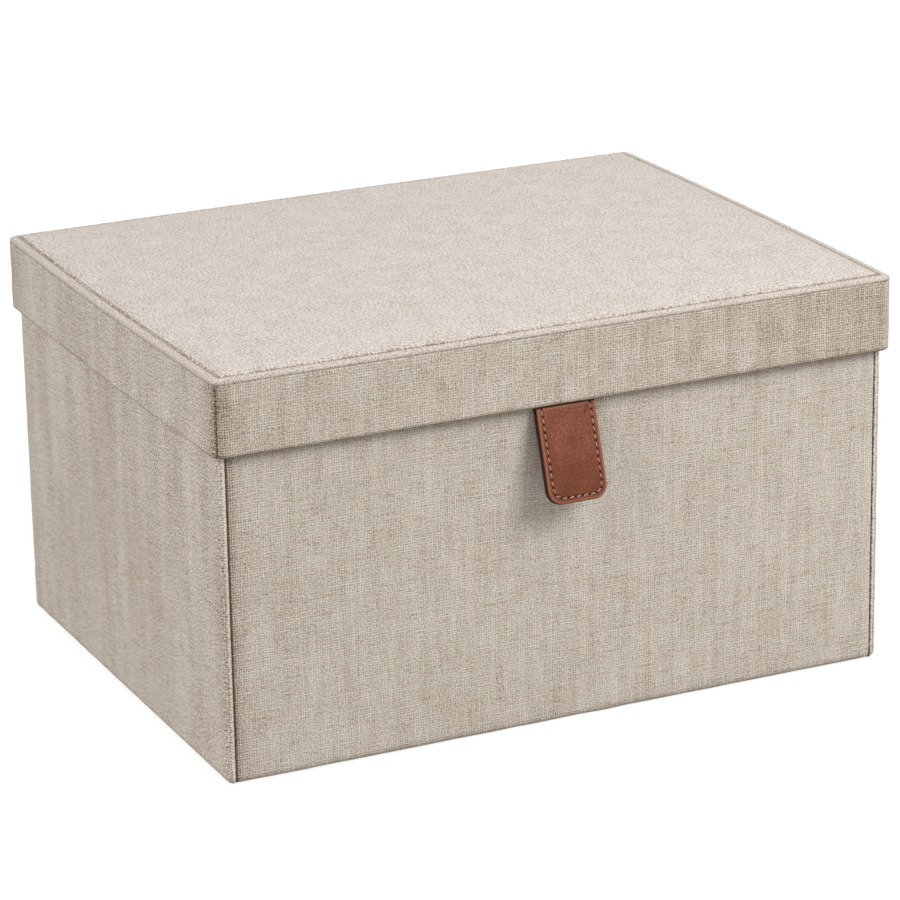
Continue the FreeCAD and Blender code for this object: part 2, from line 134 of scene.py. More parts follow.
def outline(s, inset, half, radius):
    # where a rounded rectangle drawn in by inset lies at distance s from mid front, and which way is out.
    # Each straight slides a core point along its heading, each bend turns the heading, and the radius
    # goes outwards. There may be four radii: front right, back right, back left, front left
    s, inset = np.broadcast_arrays(s, inset)
    r = np.broadcast_to(np.asarray(radius, float), (4,))
    bend = r * math.pi / 2
    legs = np.array([half[0] - r[0], bend[0], 2 * half[1] - r[0] - r[1], bend[1], 2 * half[0] - r[1] - r[2],
                     bend[2], 2 * half[1] - r[2] - r[3], bend[3], half[0] - r[3]])
    starts = np.concatenate([[0], np.cumsum(legs)])
    s = np.mod(s, starts[-1])
    leg = np.clip(np.searchsorted(starts, s, side="right") - 1, 0, 8)
    along = s - starts[leg]
    bends = leg % 2 == 1
    own = r[np.array([0, 0, 0, 1, 1, 2, 2, 3, 3])[leg]]
    heading = (leg // 2) * math.pi / 2 + np.where(bends, along / own, 0)
    side = np.array([(0, -1), (1, -1), (1, -1), (1, 1), (1, 1), (-1, 1), (-1, 1), (-1, -1), (-1, -1)])[leg]
    cores = side * (half - own[..., None])
    slide = np.where(bends, 0, along)
    outward = np.stack([np.sin(heading), -np.cos(heading)], axis=-1)
    place = cores + np.stack([np.cos(heading), np.sin(heading)], axis=-1) * slide[..., None]
    place = place + outward * (own - inset)[..., None]
    limit = np.maximum(half - np.maximum(inset, own)[..., None], 0)
    return np.where((inset > own)[..., None], np.clip(place, -limit, limit), place), outward


def perimeter(half, radius):
    r = np.broadcast_to(np.asarray(radius, float), (4,))
    return 4 * (half[0] + half[1]) - (2 - math.pi / 2) * r.sum()


def quarteredSteps(whole, spacing):
    # a column of evenly spaced places once round an outline, in four equal parts
    return np.linspace(0, whole, 4 * math.ceil(whole / (4 * spacing)) + 1)[:, None]


def bowed(place, outward, half, bow, share=1):
    # moves places outwards by a parabola along each side
    arch = 1 - np.clip(np.abs(place) / half, 0, 1)[..., ::-1] ** 2
    return place + outward * arch * np.array(bow) * share


def turnedLine(corners, radii, spacing):
    # a line through corners, each rounded by its radius, as evenly spaced points, their outward
    # directions and their distances along it
    corners = [Vector(c) for c in corners]
    points = [corners[0]]
    for before, corner, after, radius in zip(corners, corners[1:], corners[2:], radii):
        into, out = (before - corner).normalized(), (after - corner).normalized()
        opening = into.angle(out)
        reach = radius / math.tan(opening / 2)
        centre = corner + (into + out).normalized() * (radius / math.sin(opening / 2))
        first, last = corner + into * reach - centre, corner + out * reach - centre
        sweep = first.angle_signed(last)
        for share in np.linspace(0, 1, 9):
            turn = Matrix.Rotation(-sweep * share, 2)
            points.append(centre + turn @ first)
    points.append(corners[-1])
    points = np.array(points)
    lengths = np.concatenate([[0], np.cumsum(np.linalg.norm(np.diff(points, axis=0), axis=1))])
    even = np.linspace(0, lengths[-1], math.ceil(lengths[-1] / spacing) + 1)
    line = np.stack([np.interp(even, lengths, points[:, i]) for i in (0, 1)], axis=1)
    tangent = np.gradient(line, axis=0)
    tangent /= np.linalg.norm(tangent, axis=1)[:, None]
    return line, np.stack([-tangent[:, 1], tangent[:, 0]], axis=1), even


def surface(name, points, weave, closedRows=False, closedColumns=False, attributes=None, turned=False,
            group=None, seam=None):
    # a mesh from a grid of points; weave is each point's place on the cloth in metres,
    # and seam its place along and away from a seam. A closed direction has its first row or column
    # once more at the end, joined on. With a group, every so many rows make a piece by themselves
    rows, columns = points.shape[:2]
    place = np.arange(rows * columns).reshape(rows, columns)
    index = place.copy()
    if closedRows:
        index[-1] = index[0]
    if closedColumns:
        index[:, -1] = index[:, 0]
    joined = np.arange(rows - 1) % group != group - 1 if group else slice(None)
    corner, own = (np.stack([g[:-1, :-1], g[:-1, 1:], g[1:, 1:], g[1:, :-1]], axis=-1)[joined].reshape(-1, 4)
                   for g in (index, place))
    if turned:
        corner, own = corner[:, ::-1], own[:, ::-1]
    used, inverse = np.unique(corner, return_inverse=True)
    corner = inverse.reshape(-1, 4)
    mesh = bpy.data.meshes.new(name)
    mesh.vertices.add(len(used))
    mesh.vertices.foreach_set("co", points.reshape(-1, 3)[used].astype(np.float32).ravel())
    mesh.loops.add(corner.size)
    mesh.loops.foreach_set("vertex_index", corner.astype(np.int32).ravel())
    mesh.polygons.add(len(corner))
    mesh.polygons.foreach_set("loop_start", np.arange(0, corner.size, 4, dtype=np.int32))
    mesh.polygons.foreach_set("use_smooth", np.ones(len(corner), bool))
    for key, places in {"weave": weave, "seam": seam}.items():
        if places is not None:
            layer = mesh.uv_layers.new(name=key)
            layer.data.foreach_set("uv", places.reshape(-1, 2)[own.ravel()].astype(np.float32).ravel())
    for key, values in (attributes or {}).items():
        values = np.broadcast_to(values, (rows, columns)).reshape(-1)
        data = mesh.attributes.new(key, "FLOAT", "POINT").data
        data.foreach_set("value", values[used].astype(np.float32))
    mesh.update(calc_edges=True)
    mesh.validate()
    piece = bpy.data.objects.new(name, mesh)
    bpy.context.scene.collection.objects.link(piece)
    return piece


def weld(piece, distance=0.01 * mm):
    # joins points that lie together, which also takes out faces without area
    mesh = bmesh.new()
    mesh.from_mesh(piece.data)
    bmesh.ops.remove_doubles(mesh, verts=mesh.verts, dist=distance)
    mesh.to_mesh(piece.data)
    mesh.free()
    return piece


def thicken(piece, thickness):
    sheet = piece.modifiers.new("thickness", "SOLIDIFY")
    sheet.thickness = thickness
    sheet.offset = -1


def dress(piece, material, body, slotName, *nodes):
    # gives a piece its material and its body, and hides the imported nodes that it stands for
    piece.data.materials.clear()
    piece.data.materials.append(material)
    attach(piece, body)
    if nodes:
        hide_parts(*nodes)


# Shader maths

class Wire:
    # a value or colour in a material; Python operators add its Math nodes
    def __init__(self, tree, socket=None):
        self.tree = tree
        self.socket = socket

    def node(self, kind, settings=None, inputs=None, output=0):
        made = self.tree.nodes.new("ShaderNode" + kind)
        for key, value in (settings or {}).items():
            if key == "stops":
                for place, colour in value[1:-1]:
                    made.color_ramp.elements.new(place)
                for element, (place, colour) in zip(made.color_ramp.elements, value):
                    element.position = place
                    element.color = (*colour, 1)
            else:
                setattr(made, key, value)
        for key, value in (inputs or {}).items():
            if isinstance(value, Wire):
                self.tree.links.new(value.socket, made.inputs[key])
            else:
                made.inputs[key].default_value = value
        return Wire(self.tree, made.outputs[output])

    def maths(self, operation, *values):
        return self.node("Math", {"operation": operation}, dict(enumerate(values)))

    def __add__(self, other):
        return self.maths("ADD", self, other)

    def __radd__(self, other):
        return self.maths("ADD", other, self)

    def __sub__(self, other):
        return self.maths("SUBTRACT", self, other)

    def __rsub__(self, other):
        return self.maths("SUBTRACT", other, self)

    def __mul__(self, other):
        return self.maths("MULTIPLY", self, other)

    def __rmul__(self, other):
        return self.maths("MULTIPLY", other, self)

    def __truediv__(self, other):
        return self.maths("DIVIDE", self, other)

    def __rtruediv__(self, other):
        return self.maths("DIVIDE", other, self)

    def clamped(self):
        return self.node("Clamp", None, {"Value": self})

    def between(self, low, high, outLow=0.0, outHigh=1.0):
        # low and high are carried to outLow and outHigh, smoothly, and nothing goes past them
        return self.node("MapRange", {"interpolation_type": "SMOOTHSTEP"},
                         {"Value": self, 1: low, 2: high, 3: outLow, 4: outHigh})

    def mixed(self, colour, share):
        # this colour passing into another by share
        return self.node("Mix", {"data_type": "RGBA"}, {0: share, 6: self, 7: (*colour, 1)}, 2)

    def noise(self, x, y, z=0.0, detail=0.0, rough=0.5):
        place = self.node("CombineXYZ", None, {0: x, 1: y, 2: z})
        return self.node("TexNoise", None, {"Vector": place, "Scale": 1.0, "Detail": detail,
                                            "Roughness": rough})

    def uneven(self, x, y, z=0.0, detail=0.0, rough=0.5):
        # noise about nothing, between -0.5 and 0.5
        return self.noise(x, y, z, detail, rough) - 0.5

    def attribute(self, name):
        return self.node("Attribute", {"attribute_name": name}, None, 2)

    def places(self, uvMap=None):
        # the place on a UV map, or in the model where none is named, as three values in mm
        place = self.node("UVMap", {"uv_map": uvMap}) if uvMap else self.node("TexCoord", None, None, 3)
        return [self.node("SeparateXYZ", None, {0: place}, axis) * (1 / mm) for axis in range(3)]

    def ramp(self, stops):
        return self.node("ValToRGB", {"stops": stops}, {"Fac": self})

    def relief(self, strength, height):
        # this value as a bump
        return self.node("Bump", None, {"Strength": strength, "Distance": height, "Height": self})

    def into(self, shader, socket):
        self.tree.links.new(self.socket, shader.inputs[socket])


def newMaterial(name, roughness, **constants):
    # a material, its Principled shader and a wire to start from
    material = bpy.data.materials.new(name)
    material.use_nodes = True
    shader = material.node_tree.nodes["Principled BSDF"]
    shader.inputs["Roughness"].default_value = roughness
    for key, value in constants.items():
        shader.inputs[key.replace("_", " ")].default_value = value
    return material, shader, Wire(material.node_tree)


def linen(name, look):
    # plain weave: warp runs along v and weft along u, each thread with its own tone and thickness.
    # A thread's section is a parabola, raised where it passes over and lowered where it passes under;
    # broken-up patches, coarse fibres and a few thin dark wefts make it uneven, as spun flax is
    material, shader, start = newMaterial(name, look["roughness"], Sheen_Weight=look["sheen"],
                                          Sheen_Roughness=0.5, Specular_IOR_Level=0.25)
    u, v, _ = start.places(look["uvMap"])
    seed = look["seed"]

    def clothNoise(rates, offset, detail=0.0, rough=0.5):
        return start.noise(u * rates[0], v * rates[1], seed + offset, detail, rough)

    # threads wander a little from straight, lie unevenly close and wobble in patches
    patch = clothNoise(look["patchRate"], 13, 1).between(0.38, 0.62, 0.2, 1.0)
    x = u + (clothNoise(look["wanderRate"], 0, 1) - 0.5) * look["wander"]
    y = v + (clothNoise(look["wanderRate"][::-1], 9, 1) - 0.5) * look["wander"]
    x = x + start.uneven(x * look["crowdingRate"], 0.0, seed + 15) * look["crowding"]
    y = y + start.uneven(0.0, y * look["crowdingRate"], seed + 17) * look["crowding"]
    x = (x + (clothNoise(look["wobbleRate"], 11) - 0.5) * patch * look["wobble"]) / look["pitch"][0]
    y = (y + (clothNoise(look["wobbleRate"][::-1], 12) - 0.5) * patch * look["wobble"]) / look["pitch"][1]
    column, row = x.maths("FLOOR", x), y.maths("FLOOR", y)
    acrossWarp, acrossWeft = x - column, y - row
    over = (column + row).maths("FLOORED_MODULO", column + row, 2)

    def swell(across):
        return 4 * across * (1 - across)

    flat = 1 - look["crimp"]
    warpHigh = swell(acrossWarp) * (flat + over * look["crimp"] * swell(acrossWeft))
    weftHigh = swell(acrossWeft) * (flat + (1 - over) * look["crimp"] * swell(acrossWarp))
    high = warpHigh.maths("MAXIMUM", warpHigh, weftHigh)
    warpShows = (warpHigh - weftHigh).between(-0.08, 0.08)

    # how pale each thread is along its run; threads side by side read the noise far apart
    warpApart, weftApart, darkApart = look["threadsApart"]
    warpPale = start.uneven(column * warpApart, v * look["runRate"], seed + 20, 1) * look["warpContrast"]
    weftPale = start.uneven(u * look["runRate"], row * weftApart, seed + 40, 1) * look["weftContrast"]
    darkWeft = start.noise(u * look["darkRate"], row * darkApart, seed + 80).between(0.64, 0.72)
    weftPale = weftPale - look["darkWeft"] * darkWeft
    tone = weftPale + (warpPale - weftPale) * warpShows
    fibre = clothNoise(look["fibreRate"], 3, 0.6, 0.6) - 0.5
    value = tone + (high - 0.6) * (look["gapContrast"] * (1.3 - 0.6 * patch)) + look["middle"]
    value = value + fibre * look["fibreContrast"]
    value = value + (clothNoise(look["cloudRate"], 5, 2) - 0.5) * look["cloudContrast"]
    value = value + (clothNoise(look["streakRate"], 7, 1) - 0.5) * look["streakContrast"]
    value = value - start.attribute("shade") * (1.5 - high)
    if look["gathers"]:
        # painted shade of short gathered folds square to the seam, within a few millimetres of it
        along, deep, _ = start.places("seam")
        alongRate, deepRate = look["gatherRate"]
        gather = start.noise(along * alongRate, deep * deepRate, seed + 60).between(0.47, 0.58)
        value = value - look["gathers"] * gather * deep.between(1.0, look["gatherReach"], 1.0, 0.0)
    value.ramp(look["stops"]).into(shader, "Base Color")
    (high * 0.8 + fibre * 0.8).relief(look["bump"], 0.3 * mm).into(shader, "Normal")
    return material


# rates say how fast a pattern changes per mm, along u and along v
linenLook = {
    "pitch": (1.36, 1.40),  # mm from thread to thread, across the warp and across the weft
    "wander": 1.1,  # mm that a thread strays over its run
    "wanderRate": (0.05, 0.07),
    "crowding": 0.6,  # mm by which whole threads lie closer or wider
    "crowdingRate": 0.42,
    "wobble": 1.15,  # mm by which the weave is broken up in patches
    "wobbleRate": (0.36, 0.30),
    "patchRate": (0.09, 0.06),
    "crimp": 0.28,  # how much lower a thread lies where it passes under
    "runRate": 0.075,  # of a thread's tone along it
    "threadsApart": (5.37, 5.71, 3.57),
    "warpContrast": 0.50,
    "weftContrast": 0.38,
    "darkWeft": 0.16,
    "darkRate": 0.09,
    "gapContrast": 0.62,
    "fibreRate": (1.05, 0.95),
    "fibreContrast": 0.95,
    "cloudRate": (0.022, 0.022),
    "cloudContrast": 0.14,
    "streakRate": (0.20, 0.012),
    "streakContrast": 0.26,
    "gathers": 0.0,
    "gatherRate": (0.78, 0.10),
    "gatherReach": 3.4,  # mm from the seam to where the gathers end
    "middle": 0.56,
    "roughness": 0.92,
    "sheen": 0.10,
    "bump": 0.45,
    "seed": 1.0,
    "uvMap": "weave",
    "stops": [(0.0, (0.177, 0.121, 0.077)), (0.30, (0.407, 0.315, 0.233)), (0.56, (0.614, 0.534, 0.450)),
              (1.0, (0.873, 0.827, 0.763))],
}
# greyer colours with paler darks, for the top and the band: painted light for faces that look up
litStops = [(0.0, (0.236, 0.180, 0.140)), (0.30, (0.452, 0.376, 0.318)), (0.56, (0.591, 0.520, 0.461)),
             (1.0, (0.760, 0.712, 0.667))]
wallLinen = linen("wallLinen", linenLook)
# a darker copy of the wall linen for the skirt: painted shade, as the skirt gets less light than the walls
# below it
shadedSkirtLinen = linen("shadedSkirtLinen", linenLook | {
    "seed": 51.0, "middle": 0.505, "cloudRate": (0.06, 0.05), "cloudContrast": 0.24})
sideLinen = linen("sideLinen", linenLook | {
    "seed": 101.0, "middle": 0.51, "weftContrast": 0.55, "warpContrast": 0.30,
    "fibreRate": (0.78, 1.05), "fibreContrast": 1.6, "cloudRate": (0.030, 0.005), "cloudContrast": 0.34,
    "streakRate": (0.085, 0.008), "streakContrast": 0.28})
# the top is a lighter copy of the wall linen, by its higher middle and the lit stops: painted light, as it
# faces up and catches more light; the band shares these stops
topLinen = linen("topLinen", linenLook | {
    "seed": 201.0, "middle": 0.61, "runRate": 0.14, "weftContrast": 0.35, "warpContrast": 0.9,
    "darkWeft": 0.0, "gapContrast": 0.65, "fibreRate": (0.98, 0.60), "fibreContrast": 1.75,
    "cloudRate": (0.07, 0.05), "cloudContrast": 0.32, "streakContrast": 0.05,
    "gathers": 0.24, "gatherReach": 2.6, "stops": litStops})
bandLinen = linen("bandLinen", linenLook | {
    "seed": 301.0, "middle": 0.53, "warpContrast": 0.3, "weftContrast": 0.3, "gapContrast": 0.35,
    "fibreContrast": 1.6, "streakContrast": 0.0, "gathers": 0.10, "gatherReach": 1.4, "stops": litStops})
baseLinen = linen("baseLinen", linenLook | {"seed": 401.0, "uvMap": None})
print("linen ready")


# Covers: sheets carried round the box or the lid, sewn near the corners

coverLook = {
    "fine": 0.3 * mm,  # spacing of points beside a seam or a corner
    "coarse": 2.6 * mm,  # and elsewhere
    "unevenLong": 24 * mm,
    "stitchLong": 20 * mm,  # over which the stitches' spacing strays
    "lipLong": 9 * mm,  # over which the lip grows and shrinks
    "shoulderDrop": 0.3 * mm,  # how far the sheet without a lip sinks towards the seam
    "shoulderWide": 1.8 * mm,
    "turnIn": 2 * mm,  # how far inside the face the bow ends
    "rimWide": 0.9 * mm,
    "farWide": 2.5 * mm,
}

bodyCovers = coverLook | {
    "radius": 4 * mm,
    "sheet": 1.5 * mm,
    "rimRound": 1.0 * mm,
    "spacing": 1.5 * mm,
    "uneven": 0.10 * mm,
    "seamDepth": 0.95 * mm,
    "seamWidth": 0.42 * mm,
    "lipHigh": 0.34 * mm,
    "lipAt": 1.0 * mm,
    "lipWidth": 0.5 * mm,
    "stitchPitch": 3.1 * mm,
    "bow": (0, 0),
    "crease": 0.60,  # painted shade: how much darker the cloth is in a seam
    "soil": (0.62, 0.05),  # painted shade: how much darker it is beside the seam, on the plain and on the lip side
    "soilWide": 3.4 * mm,
    "pale": 0.60,  # painted highlight: how much paler the seam's lip is
    "farPale": 0.30,  # painted highlight: how much paler the cloth is where the front and back sheets end
    "edgeDark": 0.16,  # painted shade: how much darker it is along its lower edge
    "edgeWide": 3.0 * mm,
    "rimDark": 0,  # painted shade: how much darker it is below the band's outer seam
}


def coverSheet(name, stretch, half, line, look, lipSide, seed, fade=0):
    # the cross-section line carried along the rounded outline, and moved outwards by seams and unevenness
    profile, normals, t = line
    radius = look["radius"]
    bend = radius * math.pi / 2
    whole = perimeter(half, radius)
    rightBends = [half[0] - radius + bend / 2, half[0] - radius + 1.5 * bend + 2 * (half[1] - radius)]
    bends = rightBends + [whole - place for place in rightBends]
    features = list(stretch) + [place for place in bends if stretch[0] < place < stretch[1]]
    s = gradedSteps(*stretch, features, look["fine"], look["coarse"])[:, None]
    away = np.minimum(s - stretch[0], stretch[1] - s)
    z = profile[:, 1] + 0 * s
    stitch = 0.5 + 0.5 * np.cos(full * z / look["stitchPitch"] + 2 * ripples(z, 0, look["stitchLong"], seed))
    out = look["uneven"] * ripples(s, t, look["unevenLong"], seed)
    out = out - look["seamDepth"] * dip(away, look["seamWidth"]) * (0.8 + 0.2 * stitch)
    if lipSide:
        lip = dip(away - look["lipAt"], look["lipWidth"])
        out = out + look["lipHigh"] * lip * (0.75 + 0.25 * ripples(z, 0, look["lipLong"], seed + 1))
    else:
        out = out - look["shoulderDrop"] * np.exp(-away / look["shoulderWide"]) * (0.6 + 0.4 * stitch)
    out = out * np.clip((profile[:, 0] + radius) / mm, 0, 1)
    n = profile[:, 0] + out * normals[:, 0]
    z = z + out * normals[:, 1]
    place, outward = outline(s, -n, half, radius)
    share = np.clip((n + look["turnIn"]) / look["turnIn"], 0, 1)[..., None]
    place = bowed(place, outward, half, look["bow"], share)
    along = (s - stretch[0]) / (stretch[1] - stretch[0])
    # painted shade in and beside the seam, below the band, along the lower edge and towards the far end;
    # painted highlight on the lip and where the front and back sheets end
    soil = look["soil"][lipSide] * np.exp(-away / look["soilWide"])
    shade = look["crease"] * dip(away, look["seamWidth"]) + soil * (1 if lipSide else 1 - 0.8 * along)
    shade = shade + look["rimDark"] * dip(z - skirtTop, look["rimWide"])
    shade = shade + look["edgeDark"] * dip(z - profile[:, 1].min(), look["edgeWide"])
    shade = shade + fade * np.clip(along * 2 - 1, 0, 1)
    if lipSide:
        shade = shade - look["pale"] * lip
    else:
        shade = shade - look["farPale"] * np.exp((s - stretch[1]) / look["farWide"])
    piece = surface(name, raised(place, z), stacked(s, -t), attributes={"shade": shade})
    thicken(weld(piece), look["sheet"])
    return piece


def coverStretches(half, radius, seam, slip=0):
    # from seam to seam round the outline; slip moves the two right seams further round their corners
    whole = perimeter(half, radius)
    return {"front": (-seam, seam + slip), "right": (seam + slip, whole / 2 - seam - slip),
            "back": (whole / 2 - seam - slip, whole / 2 + seam), "left": (whole / 2 + seam, whole - seam)}


def makeBodyCovers():
    # four sheets that turn in over the rim and under the base
    look = bodyCovers
    corners = [(-bodyWall, bodyTop - look["sheet"]), (-bodyWall, bodyTop), (0, bodyTop), (0, 0),
               (-baseInset, 0)]
    line = turnedLine(corners, [look["rimRound"], look["rimRound"], look["radius"]], look["spacing"])
    stretches = coverStretches(bodyHalf, look["radius"], bodySeam)
    for seed, (side, stretch) in enumerate(stretches.items(), start=10):
        lipSide = side in ("left", "right")
        piece = coverSheet(f"{side}LinenCover", stretch, bodyHalf, line, look, lipSide, seed)
        dress(piece, sideLinen if lipSide else wallLinen, "box", "linen", f"{side}_cover")
    print("body covers ready")


makeBodyCovers()


skirtCovers = coverLook | {
    "radius": 5.8 * mm,
    "sheet": 0.9 * mm,
    "topIn": 3 * mm,  # how far the sheet reaches in under the edge band
    "topRound": 1.2 * mm,
    "hemRound": 1.8 * mm,
    "innerRound": 0.4 * mm,
    "slip": 2.6 * mm,  # the right seams lie this much further round the corners
    "spacing": 0.9 * mm,
    "uneven": 0.12 * mm,
    "seamDepth": 0.60 * mm,
    "seamWidth": 0.28 * mm,
    "lipHigh": 0.12 * mm,
    "lipAt": 1.2 * mm,
    "lipWidth": 0.6 * mm,
    "stitchPitch": 2.9 * mm,
    "bow": (2.4 * mm, 0.9 * mm),
    "crease": 1.4,
    "soil": (0.38, 0.42),
    "soilWide": 6.5 * mm,
    "pale": 0.0,
    "farPale": 0.55,
    "edgeDark": 0.62,
    "edgeWide": 1.5 * mm,
    "rimDark": 0.25,
    "fade": {"front": 0.14},  # painted shade: how much darker a sheet is at its far end
}


def makeSkirtCovers():
    # four sheets round the lid, with a rounded hem
    look = skirtCovers
    corners = [(-look["topIn"], skirtTop), (0, skirtTop), (0, hemZ), (-skirtIn, hemZ),
               (-skirtIn, hemZ + look["sheet"])]
    line = turnedLine(corners, [look["topRound"], look["hemRound"], look["innerRound"]], look["spacing"])
    stretches = coverStretches(lidHalf, look["radius"], lidSeam, look["slip"])
    for seed, (side, stretch) in enumerate(stretches.items(), start=30):
        lipSide = side in ("left", "right")
        piece = coverSheet(f"{side}SkirtCover", stretch, lidHalf, line, look, lipSide, seed,
                           look["fade"].get(side, 0))
        dress(piece, sideLinen if lipSide else shadedSkirtLinen, "lid", "linen", f"lid_{side}_cover")
    print("skirt covers ready")


makeSkirtCovers()


# Edge band: a rounded roll of linen between two seams

edgeBand = {
    "wide": 5.2 * mm,
    "high": 1.4 * mm,  # half the roll's thickness
    "inset": 0.1 * mm,  # from the skirt's face
    "tilt": 15,  # degrees that it slopes outwards
    "squareness": 0.85,
    "sides": 40,
    "uneven": 0.13 * mm,
    "lump": 5 * mm,
    "pucker": 0.18 * mm,
    "pitch": 2.9 * mm,
    "spacing": 0.8 * mm,
    "clothRound": 2.4 * mm,  # cloth along the section for each radian
    "shade": (0.34, 0.12),  # in the inner and in the outer seam
    "shadeWide": 0.14,  # as a share of half the width
}


def makeEdgeBand():
    # an oval section, tilted so that its outer end lies lower, carried round the lid's outline
    look = edgeBand
    radius = skirtCovers["radius"]
    tilt = math.radians(look["tilt"])
    whole = perimeter(lidHalf, radius)
    s = np.linspace(0, whole, math.ceil(whole / look["spacing"]) + 1)[:, None]
    angle = np.linspace(0, full, look["sides"] + 1)
    long = look["wide"] / 2 / math.cos(tilt)
    flat, rise = squared(np.cos(angle), look["squareness"]), squared(np.sin(angle), look["squareness"])
    lumps = look["uneven"] * ripples(s, flat * look["lump"] / 2, look["lump"], 51)
    seams = np.cos(full * s / look["pitch"]) * (dip(flat - 1, 0.5) + dip(flat + 1, 0.5))
    thick = look["high"] * rise * (1 + (lumps + look["pucker"] * 0.5 * seams) / look["high"])
    reach = long * flat
    n = -look["inset"] - look["wide"] / 2 + reach * math.cos(tilt) + thick * math.sin(tilt)
    crest = math.hypot(look["high"] * math.cos(tilt), long * math.sin(tilt))
    z = bandTop - crest - reach * math.sin(tilt) + thick * math.cos(tilt)
    place, outward = outline(s, -n, lidHalf, radius)
    place = bowed(place, outward, lidHalf, skirtCovers["bow"])
    weave, seam = stacked(s, angle * look["clothRound"]), stacked(s, (1 - np.abs(flat)) * long)
    inner, outer = look["shade"]
    shade = inner * dip(flat + 1, look["shadeWide"]) + outer * dip(flat - 1, look["shadeWide"])
    piece = surface("edgeBand", raised(place, z), weave, True, True, {"shade": shade}, turned=True, seam=seam)
    dress(piece, bandLinen, "lid", "linen", "lid_edge_band")
    print("edge band ready")


makeEdgeBand()


# Padded top: a sheet pinned at its border and blown up by cloth simulation gives the crown's form

paddedTop = {
    "cell": 4 * mm,
    "frames": 24,
    "cloth": {"quality": 6, "mass": 0.1, "tension_stiffness": 12, "compression_stiffness": 12,
              "bending_stiffness": 0.4, "uniform_pressure_force": 1.2},
    "fullness": (0.75, 0.25),  # how much the stuffing presses, and how much that varies
    "fullnessLong": 90 * mm,
    "radius": 3.2 * mm,
    "sheet": 0.7 * mm,
    "tuck": 1.1 * mm,  # how far the sheet reaches out under the band
    "fuller": 1.8 * mm,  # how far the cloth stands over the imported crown
    "edge": 1.4 * mm,  # how far the border lies above the top board
    "rollHigh": 1.5 * mm,
    "rollWidth": 3.6 * mm,
    "seamDepth": 0.9 * mm,
    "seamWidth": 0.9 * mm,
    "pucker": 0.12 * mm,
    "puckerWide": 2.4 * mm,
    "pitch": 2.7 * mm,
    "pitchLong": 17 * mm,  # over which the puckers' spacing strays
    "uneven": 0.07 * mm,
    "unevenLong": 22 * mm,
    "unevenFrom": 4 * mm,
    "fine": 0.28 * mm,  # spacing of rings beside the seam
    "coarse": 7 * mm,  # and in the middle
    "spacing": 0.95 * mm,
    "crease": 0.5,  # painted shade: how dark the seam is
    "creaseAt": 0.4 * mm,
    "creaseWide": 0.8 * mm,
    "soil": 0.14,  # and painted shade on the cloth beside it
    "soilWide": 3 * mm,
}


def crownHeights():
    # the crown's share of its full height on a coarse grid, from a pinned sheet of cloth under pressure
    look = paddedTop
    xs, ys = (np.linspace(-h, h, round(2 * h / look["cell"]) + 1) for h in panelHalf)
    gridX, gridY = np.meshgrid(xs, ys, indexing="ij")
    points = np.stack([gridX, gridY, 0 * gridX], axis=-1)
    sheet = surface("crownSheet", points, points[..., :2], turned=True)
    border = (np.abs(gridX) > xs[-1] - mm) | (np.abs(gridY) > ys[-1] - mm)
    pinned = sheet.vertex_groups.new(name="pinned")
    pinned.add([int(i) for i in np.flatnonzero(border.ravel())], 1, "REPLACE")
    mean, spread = look["fullness"]
    fullness = np.round(mean + spread * ripples(gridX, gridY, look["fullnessLong"], 61), 1)
    stuffed = sheet.vertex_groups.new(name="stuffed")
    for level in np.unique(fullness):
        among = np.flatnonzero(fullness.ravel() == level)
        stuffed.add([int(i) for i in among], float(level), "REPLACE")
    cloth = sheet.modifiers.new("cloth", "CLOTH")
    cloth.settings.use_pressure = True
    cloth.settings.vertex_group_mass = "pinned"
    cloth.settings.vertex_group_pressure = "stuffed"
    cloth.settings.effector_weights.gravity = 0
    for key, value in look["cloth"].items():
        setattr(cloth.settings, key, value)
    cloth.point_cache.frame_start = 1
    cloth.point_cache.frame_end = look["frames"]
    for number in range(1, look["frames"] + 1):
        bpy.context.scene.frame_set(number)
    blown = sheet.evaluated_get(bpy.context.evaluated_depsgraph_get())
    heights = np.zeros(len(blown.data.vertices) * 3)
    blown.data.vertices.foreach_get("co", heights)
    heights = np.abs(heights.reshape(-1, 3)[:, 2].reshape(gridX.shape))
    print("crown blown up to", round(heights.max() / mm, 2), "mm before it is capped")
    bpy.data.objects.remove(sheet)
    bpy.context.scene.frame_set(1)
    return xs, ys, heights / heights.max()


def crownShare(place):
    # the crown's share of its full height at places in plan, by parts of the four cells around
    xs, ys, grid = crown
    i = np.clip((place[..., 0] - xs[0]) / (xs[1] - xs[0]), 0, len(xs) - 1.001)
    j = np.clip((place[..., 1] - ys[0]) / (ys[1] - ys[0]), 0, len(ys) - 1.001)
    a, b = i.astype(int), j.astype(int)
    p, q = i - a, j - b
    return ((1 - p) * (1 - q) * grid[a, b] + p * (1 - q) * grid[a + 1, b]
            + (1 - p) * q * grid[a, b + 1] + p * q * grid[a + 1, b + 1])


crown = crownHeights()
panelSeam = lidHalf - edgeBand["wide"] - edgeBand["inset"]  # the seam between the band and the padded top


